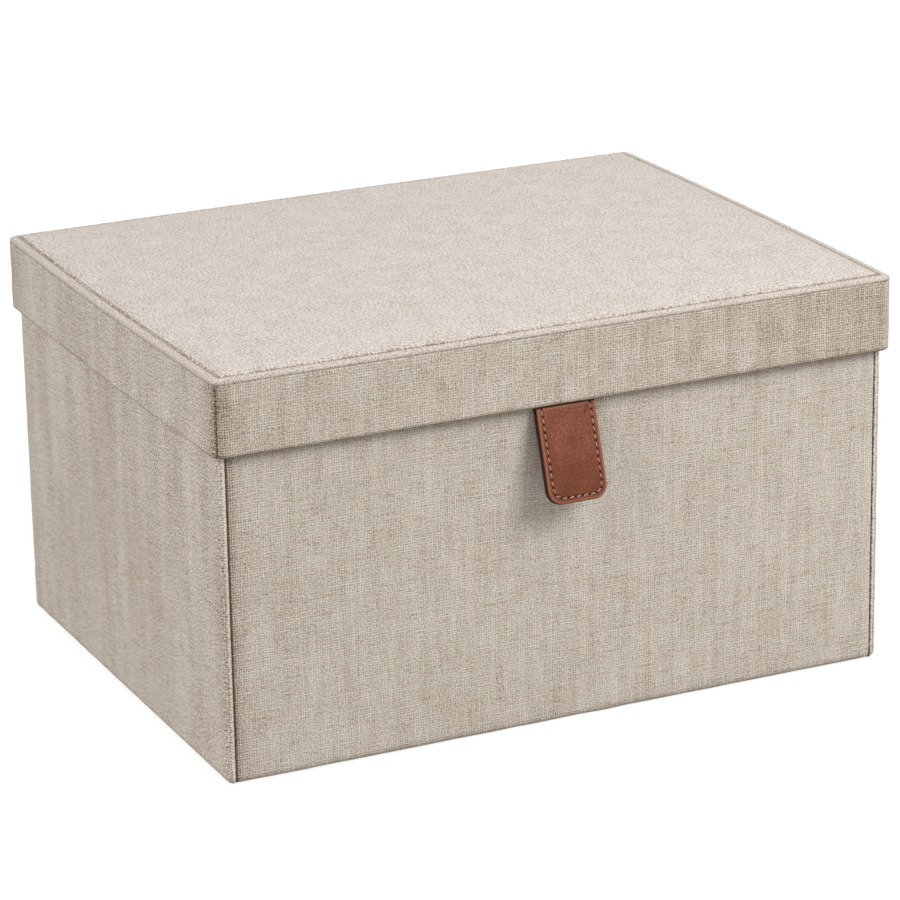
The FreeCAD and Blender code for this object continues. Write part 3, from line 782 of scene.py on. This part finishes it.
def makePaddedTop():
    # rings drawn in from the seam to the middle line; each ring is the outline drawn in further,
    # and the height adds the crown, a roll beside the seam, the seam's valley and its puckers
    look = paddedTop
    s = quarteredSteps(perimeter(panelSeam, look["radius"]), look["spacing"])
    inset = gradedSteps(-look["tuck"], panelSeam[1], [0], look["fine"], look["coarse"], 0.16)
    place, outward = outline(s, inset, panelSeam, look["radius"])
    fade = np.clip(1 - inset / panelSeam[1], 0, 1)[..., None] ** 2
    border = np.maximum(inset, 0)
    stray = 2.5 * ripples(s, 0, look["pitchLong"], 62)
    stitch = 0.5 + 0.5 * np.cos(full * s / look["pitch"] + stray)
    base = skirtTop + look["edge"]
    rise = (crownTop + look["fuller"] - base - look["rollHigh"]) * crownShare(place)
    z = base + rise + look["rollHigh"] * settled(border, look["rollWidth"])
    z = z - look["seamDepth"] * dip(border, look["seamWidth"])
    z = z - look["pucker"] * stitch * dip(border, look["puckerWide"])
    bumps = ripples(place[..., 0], place[..., 1], look["unevenLong"], 63)
    z = z + look["uneven"] * bumps * settled(border, look["unevenFrom"])
    points = raised(bowed(place, outward, panelSeam, skirtCovers["bow"], fade), z)
    # painted shade in the seam's valley and on the cloth beside it
    shade = look["crease"] * dip(border - look["creaseAt"], look["creaseWide"])
    shade = shade + look["soil"] * dip(border, look["soilWide"])
    piece = surface("paddedTop", points, place, closedRows=True, attributes={"shade": shade},
                    seam=stacked(s, border))
    thicken(weld(piece), look["sheet"])
    dress(piece, topLinen, "lid", "linen", "lid_top_cover")
    print("padded top ready")


makePaddedTop()


wadding = {
    "inset": 0.5 * mm,  # from the panel's edge
    "lift": 0.05 * mm,  # above the top board
    "below": 2.2 * mm,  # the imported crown, at its top
    "softEdge": 0.9 * mm,
    "softWide": 2.5 * mm,
    "fine": 0.6 * mm,
    "coarse": 12 * mm,
}


def makeWadding():
    # the fill below the padded top: the same crown, closed flat underneath on the top board
    look = wadding
    half, radius = panelHalf - look["inset"], paddedTop["radius"]
    s = quarteredSteps(perimeter(half, radius), look["coarse"] / 4)
    depth = gradedSteps(0, half[1], [0], look["fine"], look["coarse"], 0.2)
    inset = np.concatenate([depth[::-1], depth])
    above = np.repeat([1, 0], len(depth))
    place, _ = outline(s, inset, half, radius)
    rise = (crownTop - skirtTop - look["below"]) * crownShare(place)
    z = skirtTop + look["lift"] + above * (rise * 0.8 + look["softEdge"] * settled(inset, look["softWide"]))
    piece = weld(surface("wadding", raised(place, z), place, closedRows=True, turned=True))
    dress(piece, fluff, "lid", "wadding", "lid_wadding")


# Threads: many small stitches as one piece

def stitches(name, middle, along, up, look, rings=7, slantStray=0.12):
    # at each middle a short tube along the seam, round in section, thinner at its ends, its middle
    # raised by the arch; slants stray by some radians
    count = len(middle)
    random = np.random.default_rng(look["seed"])
    run = np.linspace(-1, 1, rings)[None, :, None, None]
    turn = np.linspace(0, full, rings)[None, None, :, None]
    slant = math.radians(look["slant"]) + slantStray * random.standard_normal(count)[:, None]
    side = np.cross(up, along)
    ahead = along * np.cos(slant) + side * np.sin(slant)
    across = np.cross(up, ahead)
    long = (look["length"] / 2 * (1 + look["uneven"] * random.standard_normal(count)))[:, None, None, None]
    stray = (look["stray"] * random.standard_normal(count))[:, None, None, None]
    thick = look["thick"] / 2 * np.sqrt(np.clip(1 - run ** 4, 0, 1))
    axes = [direction[:, None, None, :] for direction in (ahead, up, across)]
    points = middle[:, None, None, :] + axes[0] * run * long
    points = points + axes[1] * (look["arch"] * (1 - run ** 2) + thick * np.sin(turn))
    points = points + axes[2] * (stray + thick * np.cos(turn))
    weave = stacked(run * long, turn * look["thick"] / 2)
    piece = surface(name, points.reshape(count * rings, rings, 3), weave.reshape(count * rings, rings, 2),
                    closedColumns=True, group=rings)
    return weld(piece, 0.001 * mm)


seamThreads = {
    "body": {"pitch": 3.1 * mm, "length": 2.7 * mm, "thick": 0.42 * mm, "arch": 0.10 * mm, "slant": 0,
             "uneven": 0.05, "stray": 0.03 * mm, "seed": 70, "sunk": 0.72 * mm,
             "up": 4 * mm, "down": 2 * mm},
    "lid": {"pitch": 2.9 * mm, "length": 2.3 * mm, "thick": 0.5 * mm, "arch": 0.18 * mm, "slant": 12,
            "uneven": 0.12, "stray": 0.10 * mm, "seed": 71, "sunk": 0.42 * mm,
            "up": 2.2 * mm, "down": 1 * mm},
}


def uprightSeams(name, look, half, radius, seam, low, high, slip=0):
    # stitches in the four corner seams, from a little over low to a little under high
    stretches = coverStretches(half, radius, seam, slip)
    z = np.arange(low + look["up"], high - look["down"], look["pitch"])
    middles, outs = [], []
    for s in stretches["right"] + stretches["left"]:
        place, outward = outline(s + 0 * z, look["sunk"], half, radius)
        middles.append(raised(place, z))
        outs.append(raised(outward, 0))
    up = np.concatenate(outs)
    along = np.broadcast_to([0.0, 0.0, 1.0], up.shape)
    return stitches(name, np.concatenate(middles), along, up, look)


def makeSeamThreads():
    body = uprightSeams("bodySeamThreads", seamThreads["body"], bodyHalf, bodyCovers["radius"], bodySeam,
                        0, bodyTop)
    dress(body, seamCotton, "box", "seam_thread", "body_seam_threads")
    lid = uprightSeams("lidSeamThreads", seamThreads["lid"], lidHalf, skirtCovers["radius"], lidSeam,
                       hemZ, skirtTop, skirtCovers["slip"])
    dress(lid, seamCotton, "lid", "seam_thread", "lid_seam_threads")


bandThreads = {
    "inner": {"pitch": 1.5 * mm, "length": 1.7 * mm, "thick": 0.30 * mm, "arch": 0.14 * mm, "slant": 10,
              "uneven": 0.25, "stray": 0.25 * mm, "seed": 72, "inset": 0.75 * mm, "high": 1.28 * mm},
    "outer": {"pitch": 2.9 * mm, "length": 1.7 * mm, "thick": 0.42 * mm, "arch": 0.10 * mm, "slant": 0,
              "uneven": 0.15, "stray": 0.05 * mm, "seed": 73, "inset": 0.40 * mm, "high": -0.12 * mm},
}


def makeBandThreads():
    # short threads over the inner seam, and a running stitch in the outer seam
    outlines = {"inner": (panelSeam, paddedTop["radius"]), "outer": (lidHalf, skirtCovers["radius"])}
    for key, (half, radius) in outlines.items():
        look = bandThreads[key]
        whole = perimeter(half, radius)
        s = np.linspace(0, whole, round(whole / look["pitch"]) + 1)[:-1]
        place, outward = outline(s, look["inset"], half, radius)
        middle = raised(bowed(place, outward, half, skirtCovers["bow"]), skirtTop + look["high"])
        out = raised(outward, 0)
        upright = np.broadcast_to([0.0, 0.0, 1.0], out.shape)
        if key == "inner":
            along, up = out, upright
        else:
            along, up = np.cross(upright, out), (out + upright) / math.sqrt(2)
        dress(stitches(key + "SeamThreads", middle, along, up, look), seamCotton, "lid", "seam_thread")


# Pull tab: two faces of leather over a stiff middle layer, stitched round the edge

pullTab = {
    "half": 17.5 * mm,
    "long": 50.7 * mm,
    "corner": 8 * mm,
    "headCorner": 0.5 * mm,
    "leather": 1.5 * mm,
    "filler": 2.0 * mm,
    "lean": 18,  # degrees from the upright
    "head": 1.8 * mm,  # how far it reaches over the hinge
    "seamHead": -1.0 * mm,  # where the stitching starts, down from the hinge
    "seamCorner": 0.3 * mm,  # of the stitching at its head
    "edgeRound": 1.3 * mm,
    "fillerRound": 0.5 * mm,
    "rimAt": 0.9 * mm,  # where the painted highlight along the rim is, in from the edge
    "rimWide": 0.55 * mm,
    "paintShare": 0.16,  # how much of the rounding the edge paint covers
    "stitchInset": 3.15 * mm,
    "stitchPitch": 4.2 * mm,
    "groove": 0.28 * mm,
    "grooveWide": 0.55 * mm,
    "grooveShade": 0.35,
    "darkWide": 0.5 * mm,
    "puff": 0.22 * mm,
    "puffWide": 5 * mm,  # from the seam to where the swell is full
    "puffFrom": -2 * mm,  # where it starts, down from the hinge
    "puffLong": 14 * mm,
    "holeDepth": 0.55 * mm,
    "holeWide": 0.42 * mm,
    "holeShade": 1.2,
    "holeDarkWide": 0.55 * mm,
    "uneven": 0.05 * mm,
    "unevenLong": 9 * mm,
    "unevenFrom": 0.5 * mm,
    "fine": 0.14 * mm,  # spacing of rings beside the edge and the seam
    "coarse": 1.5 * mm,  # and elsewhere
    "spacing": 0.42 * mm,
}
tabLean = math.radians(pullTab["lean"])
tabDown = np.array([0, -math.sin(tabLean), -math.cos(tabLean)])
tabFace = np.array([0, tabDown[2], -tabDown[1]])
tabHalfThick = pullTab["filler"] / 2 + pullTab["leather"]
tabHalf = np.array([pullTab["half"], (pullTab["long"] + pullTab["head"]) / 2])
tabMiddle = pullTab["long"] - tabHalf[1]
tabRadii = (pullTab["corner"], pullTab["headCorner"], pullTab["headCorner"], pullTab["corner"])


def onTab(across, down, high):
    # from across, down from the hinge and high off the middle layer, to the model's frame
    flat = hinge + across[..., None] * np.array([1.0, 0, 0])
    return flat + down[..., None] * tabDown + high[..., None] * tabFace


def stitchPlaces():
    # evenly spaced places along the U of the seam, which runs up under the hem on both sides
    look = pullTab
    low = look["long"] - look["stitchInset"]
    seamHalf = np.array([look["half"] - look["stitchInset"], (low - look["seamHead"]) / 2])
    corner = look["corner"] - look["stitchInset"]
    radii = (corner, look["seamCorner"], look["seamCorner"], corner)
    top = perimeter(seamHalf, radii) / 2 - seamHalf[0]  # where the seam comes to the head of a side
    count = round(2 * top / look["stitchPitch"])
    place, _ = outline(np.linspace(-top, top, count + 1), 0, seamHalf, radii)
    return place[:, 0], (low + look["seamHead"]) / 2 - place[:, 1]


def tabSheet(name, low, high, material, slotName, node, faceUp):
    # rings drawn in from the outline: over the face, down the side and back underneath.
    # The face adds an edge rounding, a groove under the seam, a soft swell inside it and the stitch holes
    look = pullTab
    s = quarteredSteps(perimeter(tabHalf, tabRadii), look["spacing"])
    steps = gradedSteps(0, tabHalf[0], [0, look["stitchInset"]], look["fine"], look["coarse"], 0.16)
    wall = np.linspace(0, 1, 4)[1:]
    under = np.linspace(0, tabHalf[0], 4)[1:]
    inset = np.concatenate([steps[::-1], 0 * wall, under])
    face = np.concatenate([np.ones(len(steps)), 1 - wall, 0 * under])
    place, _ = outline(s, inset, tabHalf, tabRadii)
    across, down = place[..., 0], tabMiddle - place[..., 1]
    rounding = look["edgeRound"] if faceUp else look["fillerRound"]
    edgeDrop = rounding * (1 - np.sqrt(np.clip(1 - (1 - np.clip(inset / rounding, 0, 1)) ** 2, 0, 1)))
    top = high - edgeDrop * (0.85 if faceUp else 0.6)
    shade, edgePaint = 0, 1
    if faceUp:
        fold = low + (high - low) * np.sqrt(np.clip(1 - (np.minimum(down, 0) / look["head"]) ** 2, 0, 1))
        fromSide = np.where(down < look["long"] / 2, look["half"] - np.abs(across), inset)
        fromSeam = fromSide - look["stitchInset"]
        swell = np.clip(fromSeam / look["puffWide"], 0, 1)
        lower = np.clip((down - look["puffFrom"]) / look["puffLong"], 0, 1)
        top = top + look["puff"] * swell * (2 - swell) * lower * lower * (3 - 2 * lower)
        top = top - look["groove"] * dip(fromSeam, look["grooveWide"])
        holeX, holeD = stitchPlaces()
        gap = np.hypot(across[..., None] - holeX, down[..., None] - holeD).min(axis=-1)
        top = top - look["holeDepth"] * dip(gap, look["holeWide"])
        top = np.where(down < 0, np.minimum(top, fold), top)
        bumps = look["uneven"] * ripples(across, down, look["unevenLong"], 81)
        top = top + bumps * (inset > look["unevenFrom"])
        # painted shade in the stitch holes and along the seam's groove
        shade = look["holeShade"] * dip(gap, look["holeDarkWide"])
        shade = shade + look["grooveShade"] * dip(fromSeam, look["darkWide"])
        edgePaint = np.where(face < 0.99, 1.0, dip(inset / rounding, look["paintShare"]))
    rim = dip(inset - look["rimAt"], look["rimWide"]) * face
    points = onTab(across, down, low + (top - low) * face)
    attributes = {"shade": shade, "edge": edgePaint, "rim": rim}
    piece = surface(name, points, stacked(across, down), closedRows=True, attributes=attributes, turned=True)
    dress(weld(piece, 0.004 * mm), material, "tab", slotName, node)
    return piece


def mirrorBack(piece, name, node):
    # the same sheet mirrored in the tab's own middle plane, for its back
    twin = bpy.data.objects.new(name, piece.data.copy())
    bpy.context.scene.collection.objects.link(twin)
    places = np.zeros(len(twin.data.vertices) * 3, np.float32)
    twin.data.vertices.foreach_get("co", places)
    places = places.reshape(-1, 3).astype(float)
    off = (places - hinge) @ tabFace
    places = places - 2 * off[:, None] * tabFace
    twin.data.vertices.foreach_set("co", places.astype(np.float32).ravel())
    twin.data.flip_normals()
    dress(twin, piece.data.materials[0], "tab", "leather", node)


tabThread = {
    "length": 3.1 * mm,
    "thick": 0.62 * mm,
    "arch": 0.42 * mm,
    "slant": 9,
    "uneven": 0.03,
    "stray": 0.02 * mm,
    "seed": 74,
    "lift": -0.42 * mm,
    "sunk": 0.3 * mm,  # the stitches lie this much deeper at the hinge, where the hem passes over them
    "sunkTo": 9 * mm,
}


def makeTab():
    look = pullTab
    inner = look["filler"] / 2
    front = tabSheet("tabFrontLeather", inner, tabHalfThick, leather, "leather", "tab_front_leather", True)
    mirrorBack(front, "tabBackLeather", "tab_back_leather")
    tabSheet("tabFiller", -inner, inner, leather, "leather_edge", "tab_filler", False)
    holeX, holeD = stitchPlaces()
    middleX, middleD = (holeX[1:] + holeX[:-1]) / 2, (holeD[1:] + holeD[:-1]) / 2
    runX, runD = np.diff(holeX), np.diff(holeD)
    size = np.hypot(runX, runD)
    along = (runX / size)[:, None] * np.array([1.0, 0, 0]) + (runD / size)[:, None] * tabDown
    sunk = tabThread["sunk"] * np.clip(1 - middleD / tabThread["sunkTo"], 0, 1)
    threads = []
    for side in (1, -1):
        high = side * (tabHalfThick + tabThread["lift"] - sunk)
        up = np.broadcast_to(side * tabFace, along.shape)
        threads.append(stitches("tabStitching", onTab(middleX, middleD, high), along, up, tabThread))
    with bpy.context.temp_override(active_object=threads[0], selected_editable_objects=threads):
        bpy.ops.object.join()
    threads[0].name = "tabStitching"
    dress(threads[0], waxedThread, "tab", "thread", "tab_stitching")


tabRoot = {
    "thick": 1.2 * mm,
    "inset": 0.1 * mm,  # from the tab's sides
    "inTab": 7 * mm,  # how far the strap reaches into the tab
    "bendFrom": -2 * mm,  # where it starts to lean, down from the hinge
    "bendLong": 5 * mm,
    "spacing": 0.8 * mm,
    "blendAbove": 3 * mm,  # how far over and under the hinge
    "blendBelow": 2.5 * mm,
}


def makeTabRoot():
    # a strap that follows the inside of the skirt down to the hinge and then the tab's lean,
    # with a flat oval section
    look = tabRoot
    head = far("tab_root")[2]
    t = np.arange(hinge[2] - head, look["inTab"], look["spacing"])
    lean = tabLean * np.clip((t - look["bendFrom"]) / look["bendLong"], 0, 1)
    step = np.gradient(t)
    y = np.cumsum(-np.sin(lean) * step)
    z = np.cumsum(-np.cos(lean) * step)
    y, z = y - y[0] + hinge[1], z - z[0] + head
    angle = np.linspace(0, full, 33)
    ends = np.sqrt(np.clip(1 - (2 * np.linspace(0, 1, len(t)) - 1) ** 40, 0, 1))[:, None]
    across = (pullTab["half"] - look["inset"]) * squared(np.cos(angle), 0.12) * (0.97 + 0.03 * ends)
    high = look["thick"] / 2 * squared(np.sin(angle), 0.3) * ends
    t, y, z, lean = t[:, None], y[:, None], z[:, None], lean[:, None]
    points = stacked(across, y - np.cos(lean) * high, z + np.sin(lean) * high)
    edge = np.abs(np.cos(angle)) > 0.995
    piece = surface("tabRootStrap", points, stacked(across, t), closedColumns=True,
                    attributes={"shade": 0, "rim": 0, "edge": edge})
    weld(piece, 0.004 * mm)
    piece.data.materials.append(leather)
    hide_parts("tab_root")
    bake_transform(piece)


# Other finishes

def leatherMaterial(name, look):
    # smooth hide: pebbled grain, cloudy colour and a dark painted edge, with painted shade in the stitch
    # holes and the seam's groove, a painted highlight along the bevel rim and a painted sheen towards the
    # head
    material, shader, start = newMaterial(name, 0.5, Coat_Weight=look["coat"], Coat_Roughness=0.35,
                                          Specular_IOR_Level=look["shine"])
    u, v, _ = start.places("weave")
    spot = start.node("CombineXYZ", None, {0: u, 1: v, 2: 0.0})
    pebble = start.node("TexVoronoi", {"feature": "SMOOTH_F1"},
                        {"Vector": spot, "Scale": 1.5, "Smoothness": 0.6})
    fine = start.uneven(u * 1.15, v * 1.0, 3.0, 1.5)
    slanted = start.uneven((u + v) * 0.75, (u - v) * 0.28, 6.0, 1)
    cloud = start.uneven(u * 0.09, v * 0.07, 4.0, 3)
    crease = start.uneven(u * 0.5, v * 0.14, 5.0, 3)
    # paler towards the head: a painted sheen, over the cloudy grain
    tone = 0.62 - v * 0.0072 + cloud * 0.8 + fine * 1.5 + slanted * 0.55 + crease * 0.3
    edge = start.attribute("edge")
    # painted highlight along the bevel rim
    rimLit = tone.ramp(look["stops"]).mixed(look["rim"], start.attribute("rim") * 0.75)
    painted = rimLit.mixed(look["paint"], edge.clamped())
    painted.mixed(look["stitchShade"], start.attribute("shade").clamped()).into(shader, "Base Color")
    (look["rough"] + fine * 0.12 + edge * 0.1).into(shader, "Roughness")
    (pebble * 0.6 + fine * 0.5 + crease * 0.3).relief(look["bump"], 0.2 * mm).into(shader, "Normal")
    return material


leather = leatherMaterial("saddleLeather", {
    "coat": 0.06,
    "shine": 0.22,
    "rough": 0.55,
    "bump": 0.45,
    "stops": [(0.0, (0.115, 0.022, 0.006)), (0.5, (0.190, 0.050, 0.020)), (1.0, (0.320, 0.122, 0.072))],
    "rim": (0.40, 0.155, 0.085),
    "paint": (0.022, 0.006, 0.003),
    "stitchShade": (0.008, 0.003, 0.002),
})


def cottonMaterial(name, colours, rate, bump):
    # spun thread or loose fill: a dark and a pale tone mixed by fine noise, which also raises the surface
    material, shader, start = newMaterial(name, 0.85, Sheen_Weight=0.1)
    x, y, z = start.places()
    fine = start.uneven(x * rate, y * rate, z * rate, 2)
    broad = start.uneven(x * 0.05, y * 0.05, z * 0.05, 2)
    tone = 0.5 + fine * 1.4 + broad * 0.5
    tone.ramp([(0.0, colours[0]), (1.0, colours[1])]).into(shader, "Base Color")
    fine.relief(bump, 0.15 * mm).into(shader, "Normal")
    return material


waxedThread = cottonMaterial("waxedThread", ((0.38, 0.18, 0.11), (0.72, 0.46, 0.33)), 3.0, 0.5)
seamCotton = cottonMaterial("seamCotton", ((0.030, 0.019, 0.012), (0.105, 0.076, 0.053)), 2.5, 0.5)
fluff = cottonMaterial("fluff", ((0.70, 0.69, 0.66), (0.86, 0.85, 0.83)), 0.8, 0.8)


def liningMaterial():
    # plain cotton: fine crossed threads in colour and bump, on whichever two axes the sheet lies along
    material, shader, start = newMaterial("liningCotton", 0.8, Sheen_Weight=0.1)
    x, y, z = start.places()
    pitch = 0.62  # mm from thread to thread
    ribs = [axis.maths("SINE", axis * (full / pitch)) for axis in (x, y, z)]
    threads = ribs[0] * ribs[1] + ribs[1] * ribs[2] + ribs[2] * ribs[0]
    broad = start.uneven(x * 0.03, y * 0.03, z * 0.03, 3)
    fibre = start.uneven(x * 1.8, y * 1.8, z * 1.8, 2)
    stops = [(0.0, (0.52, 0.47, 0.40)), (0.5, (0.68, 0.63, 0.56)), (1.0, (0.80, 0.76, 0.70))]
    (0.5 + threads * 0.10 + broad * 0.35 + fibre * 0.4).ramp(stops).into(shader, "Base Color")
    (threads * 0.5 + fibre).relief(0.4, 0.15 * mm).into(shader, "Normal")
    return material


def boardMaterial():
    # recycled grey board: short dark and pale fibres over a slow mottle
    material, shader, start = newMaterial("greyBoard", 0.9)
    x, y, z = start.places()
    fibre = start.uneven(x * 1.4, y * 1.4, z * 1.4, 4, 0.7)
    mottle = start.uneven(x * 0.06, y * 0.06, z * 0.06, 2)
    stops = [(0.0, (0.20, 0.19, 0.17)), (0.5, (0.34, 0.32, 0.29)), (1.0, (0.46, 0.44, 0.40))]
    (0.5 + fibre * 1.1 + mottle * 0.4).ramp(stops).into(shader, "Base Color")
    fibre.relief(0.3, 0.2 * mm).into(shader, "Normal")
    return material


def finishNodes():
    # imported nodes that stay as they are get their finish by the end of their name
    finishes = {"_lining": liningMaterial(), "_board": boardMaterial(), "base_cover": baseLinen}
    for name, node in frame["nodes"].items():
        for ending, finish in finishes.items():
            if name.endswith(ending):
                for place in node.material_slots:
                    place.material = finish


makeWadding()
makeSeamThreads()
makeBandThreads()
makeTab()
makeTabRoot()
finishNodes()
print("threads, tab and inner pieces ready")


# Stage: a pale floor, a pale world, soft lamps and the camera

camera = {
    "lens": 160.0,  # mm
    "sensor": 36.0,  # mm across
    "place": (-0.905, -1.949, 0.839),
    "yaw": 25.01,
    "pitch": 18.74,
    "roll": -1.02,
}


def makeCamera():
    yaw, pitch, roll = (math.radians(camera[key]) for key in ("yaw", "pitch", "roll"))
    ahead = Vector((math.cos(pitch) * math.sin(yaw), math.cos(pitch) * math.cos(yaw), -math.sin(pitch)))
    right = Vector((math.cos(yaw), -math.sin(yaw), 0))
    above = right.cross(ahead)
    across = right * math.cos(roll) + above * math.sin(roll)
    upright = above * math.cos(roll) - right * math.sin(roll)
    data = bpy.data.cameras.new("camera")
    data.lens = camera["lens"]
    data.sensor_width = camera["sensor"]
    shot = bpy.data.objects.new("camera", data)
    turn = Matrix((across, upright, -ahead)).transposed().to_4x4()
    shot.matrix_world = Matrix.Translation(camera["place"]) @ turn
    bpy.context.scene.collection.objects.link(shot)
    bpy.context.scene.camera = shot


lighting = {
    "keyPower": 26.7,  # watts
    "keyPlace": (0.91, -1.45, 1.46),
    "keySize": 0.95,
    "keyAim": (0.0, -0.05, 0.15),
    "fillStrength": 1.62,
    "fillFrom": (-1.0, -0.14, 0.6),
    "overheadStrength": 0.60,
    "overheadFrom": (0.1, 0.15, 1.0),
    "wideAngle": 45,  # degrees that the fill and the overhead light span
    "world": 0.28,
}


def background(start):
    # one for rays that come from the camera or through a gloss or glass, and nothing for light on the object
    return (start.node("LightPath") + start.node("LightPath", None, None, 3)
            + start.node("LightPath", None, None, 6)).clamped()


def makeLights():
    look = lighting
    for name in ("key", "fill", "overhead"):
        data = bpy.data.lights.new(name, "AREA" if name == "key" else "SUN")
        lamp = bpy.data.objects.new(name, data)
        lamp.rotation_mode = "QUATERNION"
        if name == "key":
            data.energy = look["keyPower"]
            data.size = look["keySize"]
            lamp.location = look["keyPlace"]
            towards = Vector(look["keyPlace"]) - Vector(look["keyAim"])
        else:
            data.energy = look[name + "Strength"]
            data.angle = math.radians(look["wideAngle"])
            towards = Vector(look[name + "From"])
        lamp.rotation_quaternion = towards.to_track_quat("Z", "Y")
        bpy.context.scene.collection.objects.link(lamp)
    world = bpy.data.worlds.new("world")
    world.use_nodes = True
    bpy.context.scene.world = world
    shader = world.node_tree.nodes["Background"]
    shader.inputs["Color"].default_value = (1, 1, 1, 1)
    strength = look["world"] + (1 - look["world"]) * background(Wire(world.node_tree))
    strength.into(shader, "Strength")


floorLook = {
    "half": 8,
    "low": 0.3 * mm,  # below the box, so that the two don't share a plane
    "pale": (0.45, 0.447, 0.443, 1),  # as the object is lit by it
    "soft": (0.22, 0.218, 0.216, 1),  # as the camera sees it, where it holds the shadow
    "glow": 0.86,
}


def makeFloor():
    look = floorLook
    size, low = look["half"], -look["low"]
    mesh = bpy.data.meshes.new("floor")
    mesh.from_pydata([(-size, -size, low), (size, -size, low), (size, size, low), (-size, size, low)],
                     [], [(0, 1, 2, 3)])
    floor = bpy.data.objects.new("floor", mesh)
    bpy.context.scene.collection.objects.link(floor)
    material = bpy.data.materials.new("floor")
    material.use_nodes = True
    start = Wire(material.node_tree)
    material.node_tree.nodes.remove(material.node_tree.nodes["Principled BSDF"])
    pale = start.node("BsdfDiffuse", None, {"Color": look["pale"]})
    soft = start.node("BsdfDiffuse", None, {"Color": look["soft"]})
    glow = start.node("Emission", None, {"Color": (1, 1, 1, 1), "Strength": look["glow"]})
    seen = start.node("AddShader", None, {0: soft, 1: glow})
    shown = start.node("MixShader", None, {0: background(start), 1: pale, 2: seen})
    shown.into(material.node_tree.nodes["Material Output"], "Surface")
    mesh.materials.append(material)


makeCamera()
makeLights()
makeFloor()
bpy.context.scene.view_settings.view_transform = "Standard"
print("stage ready")
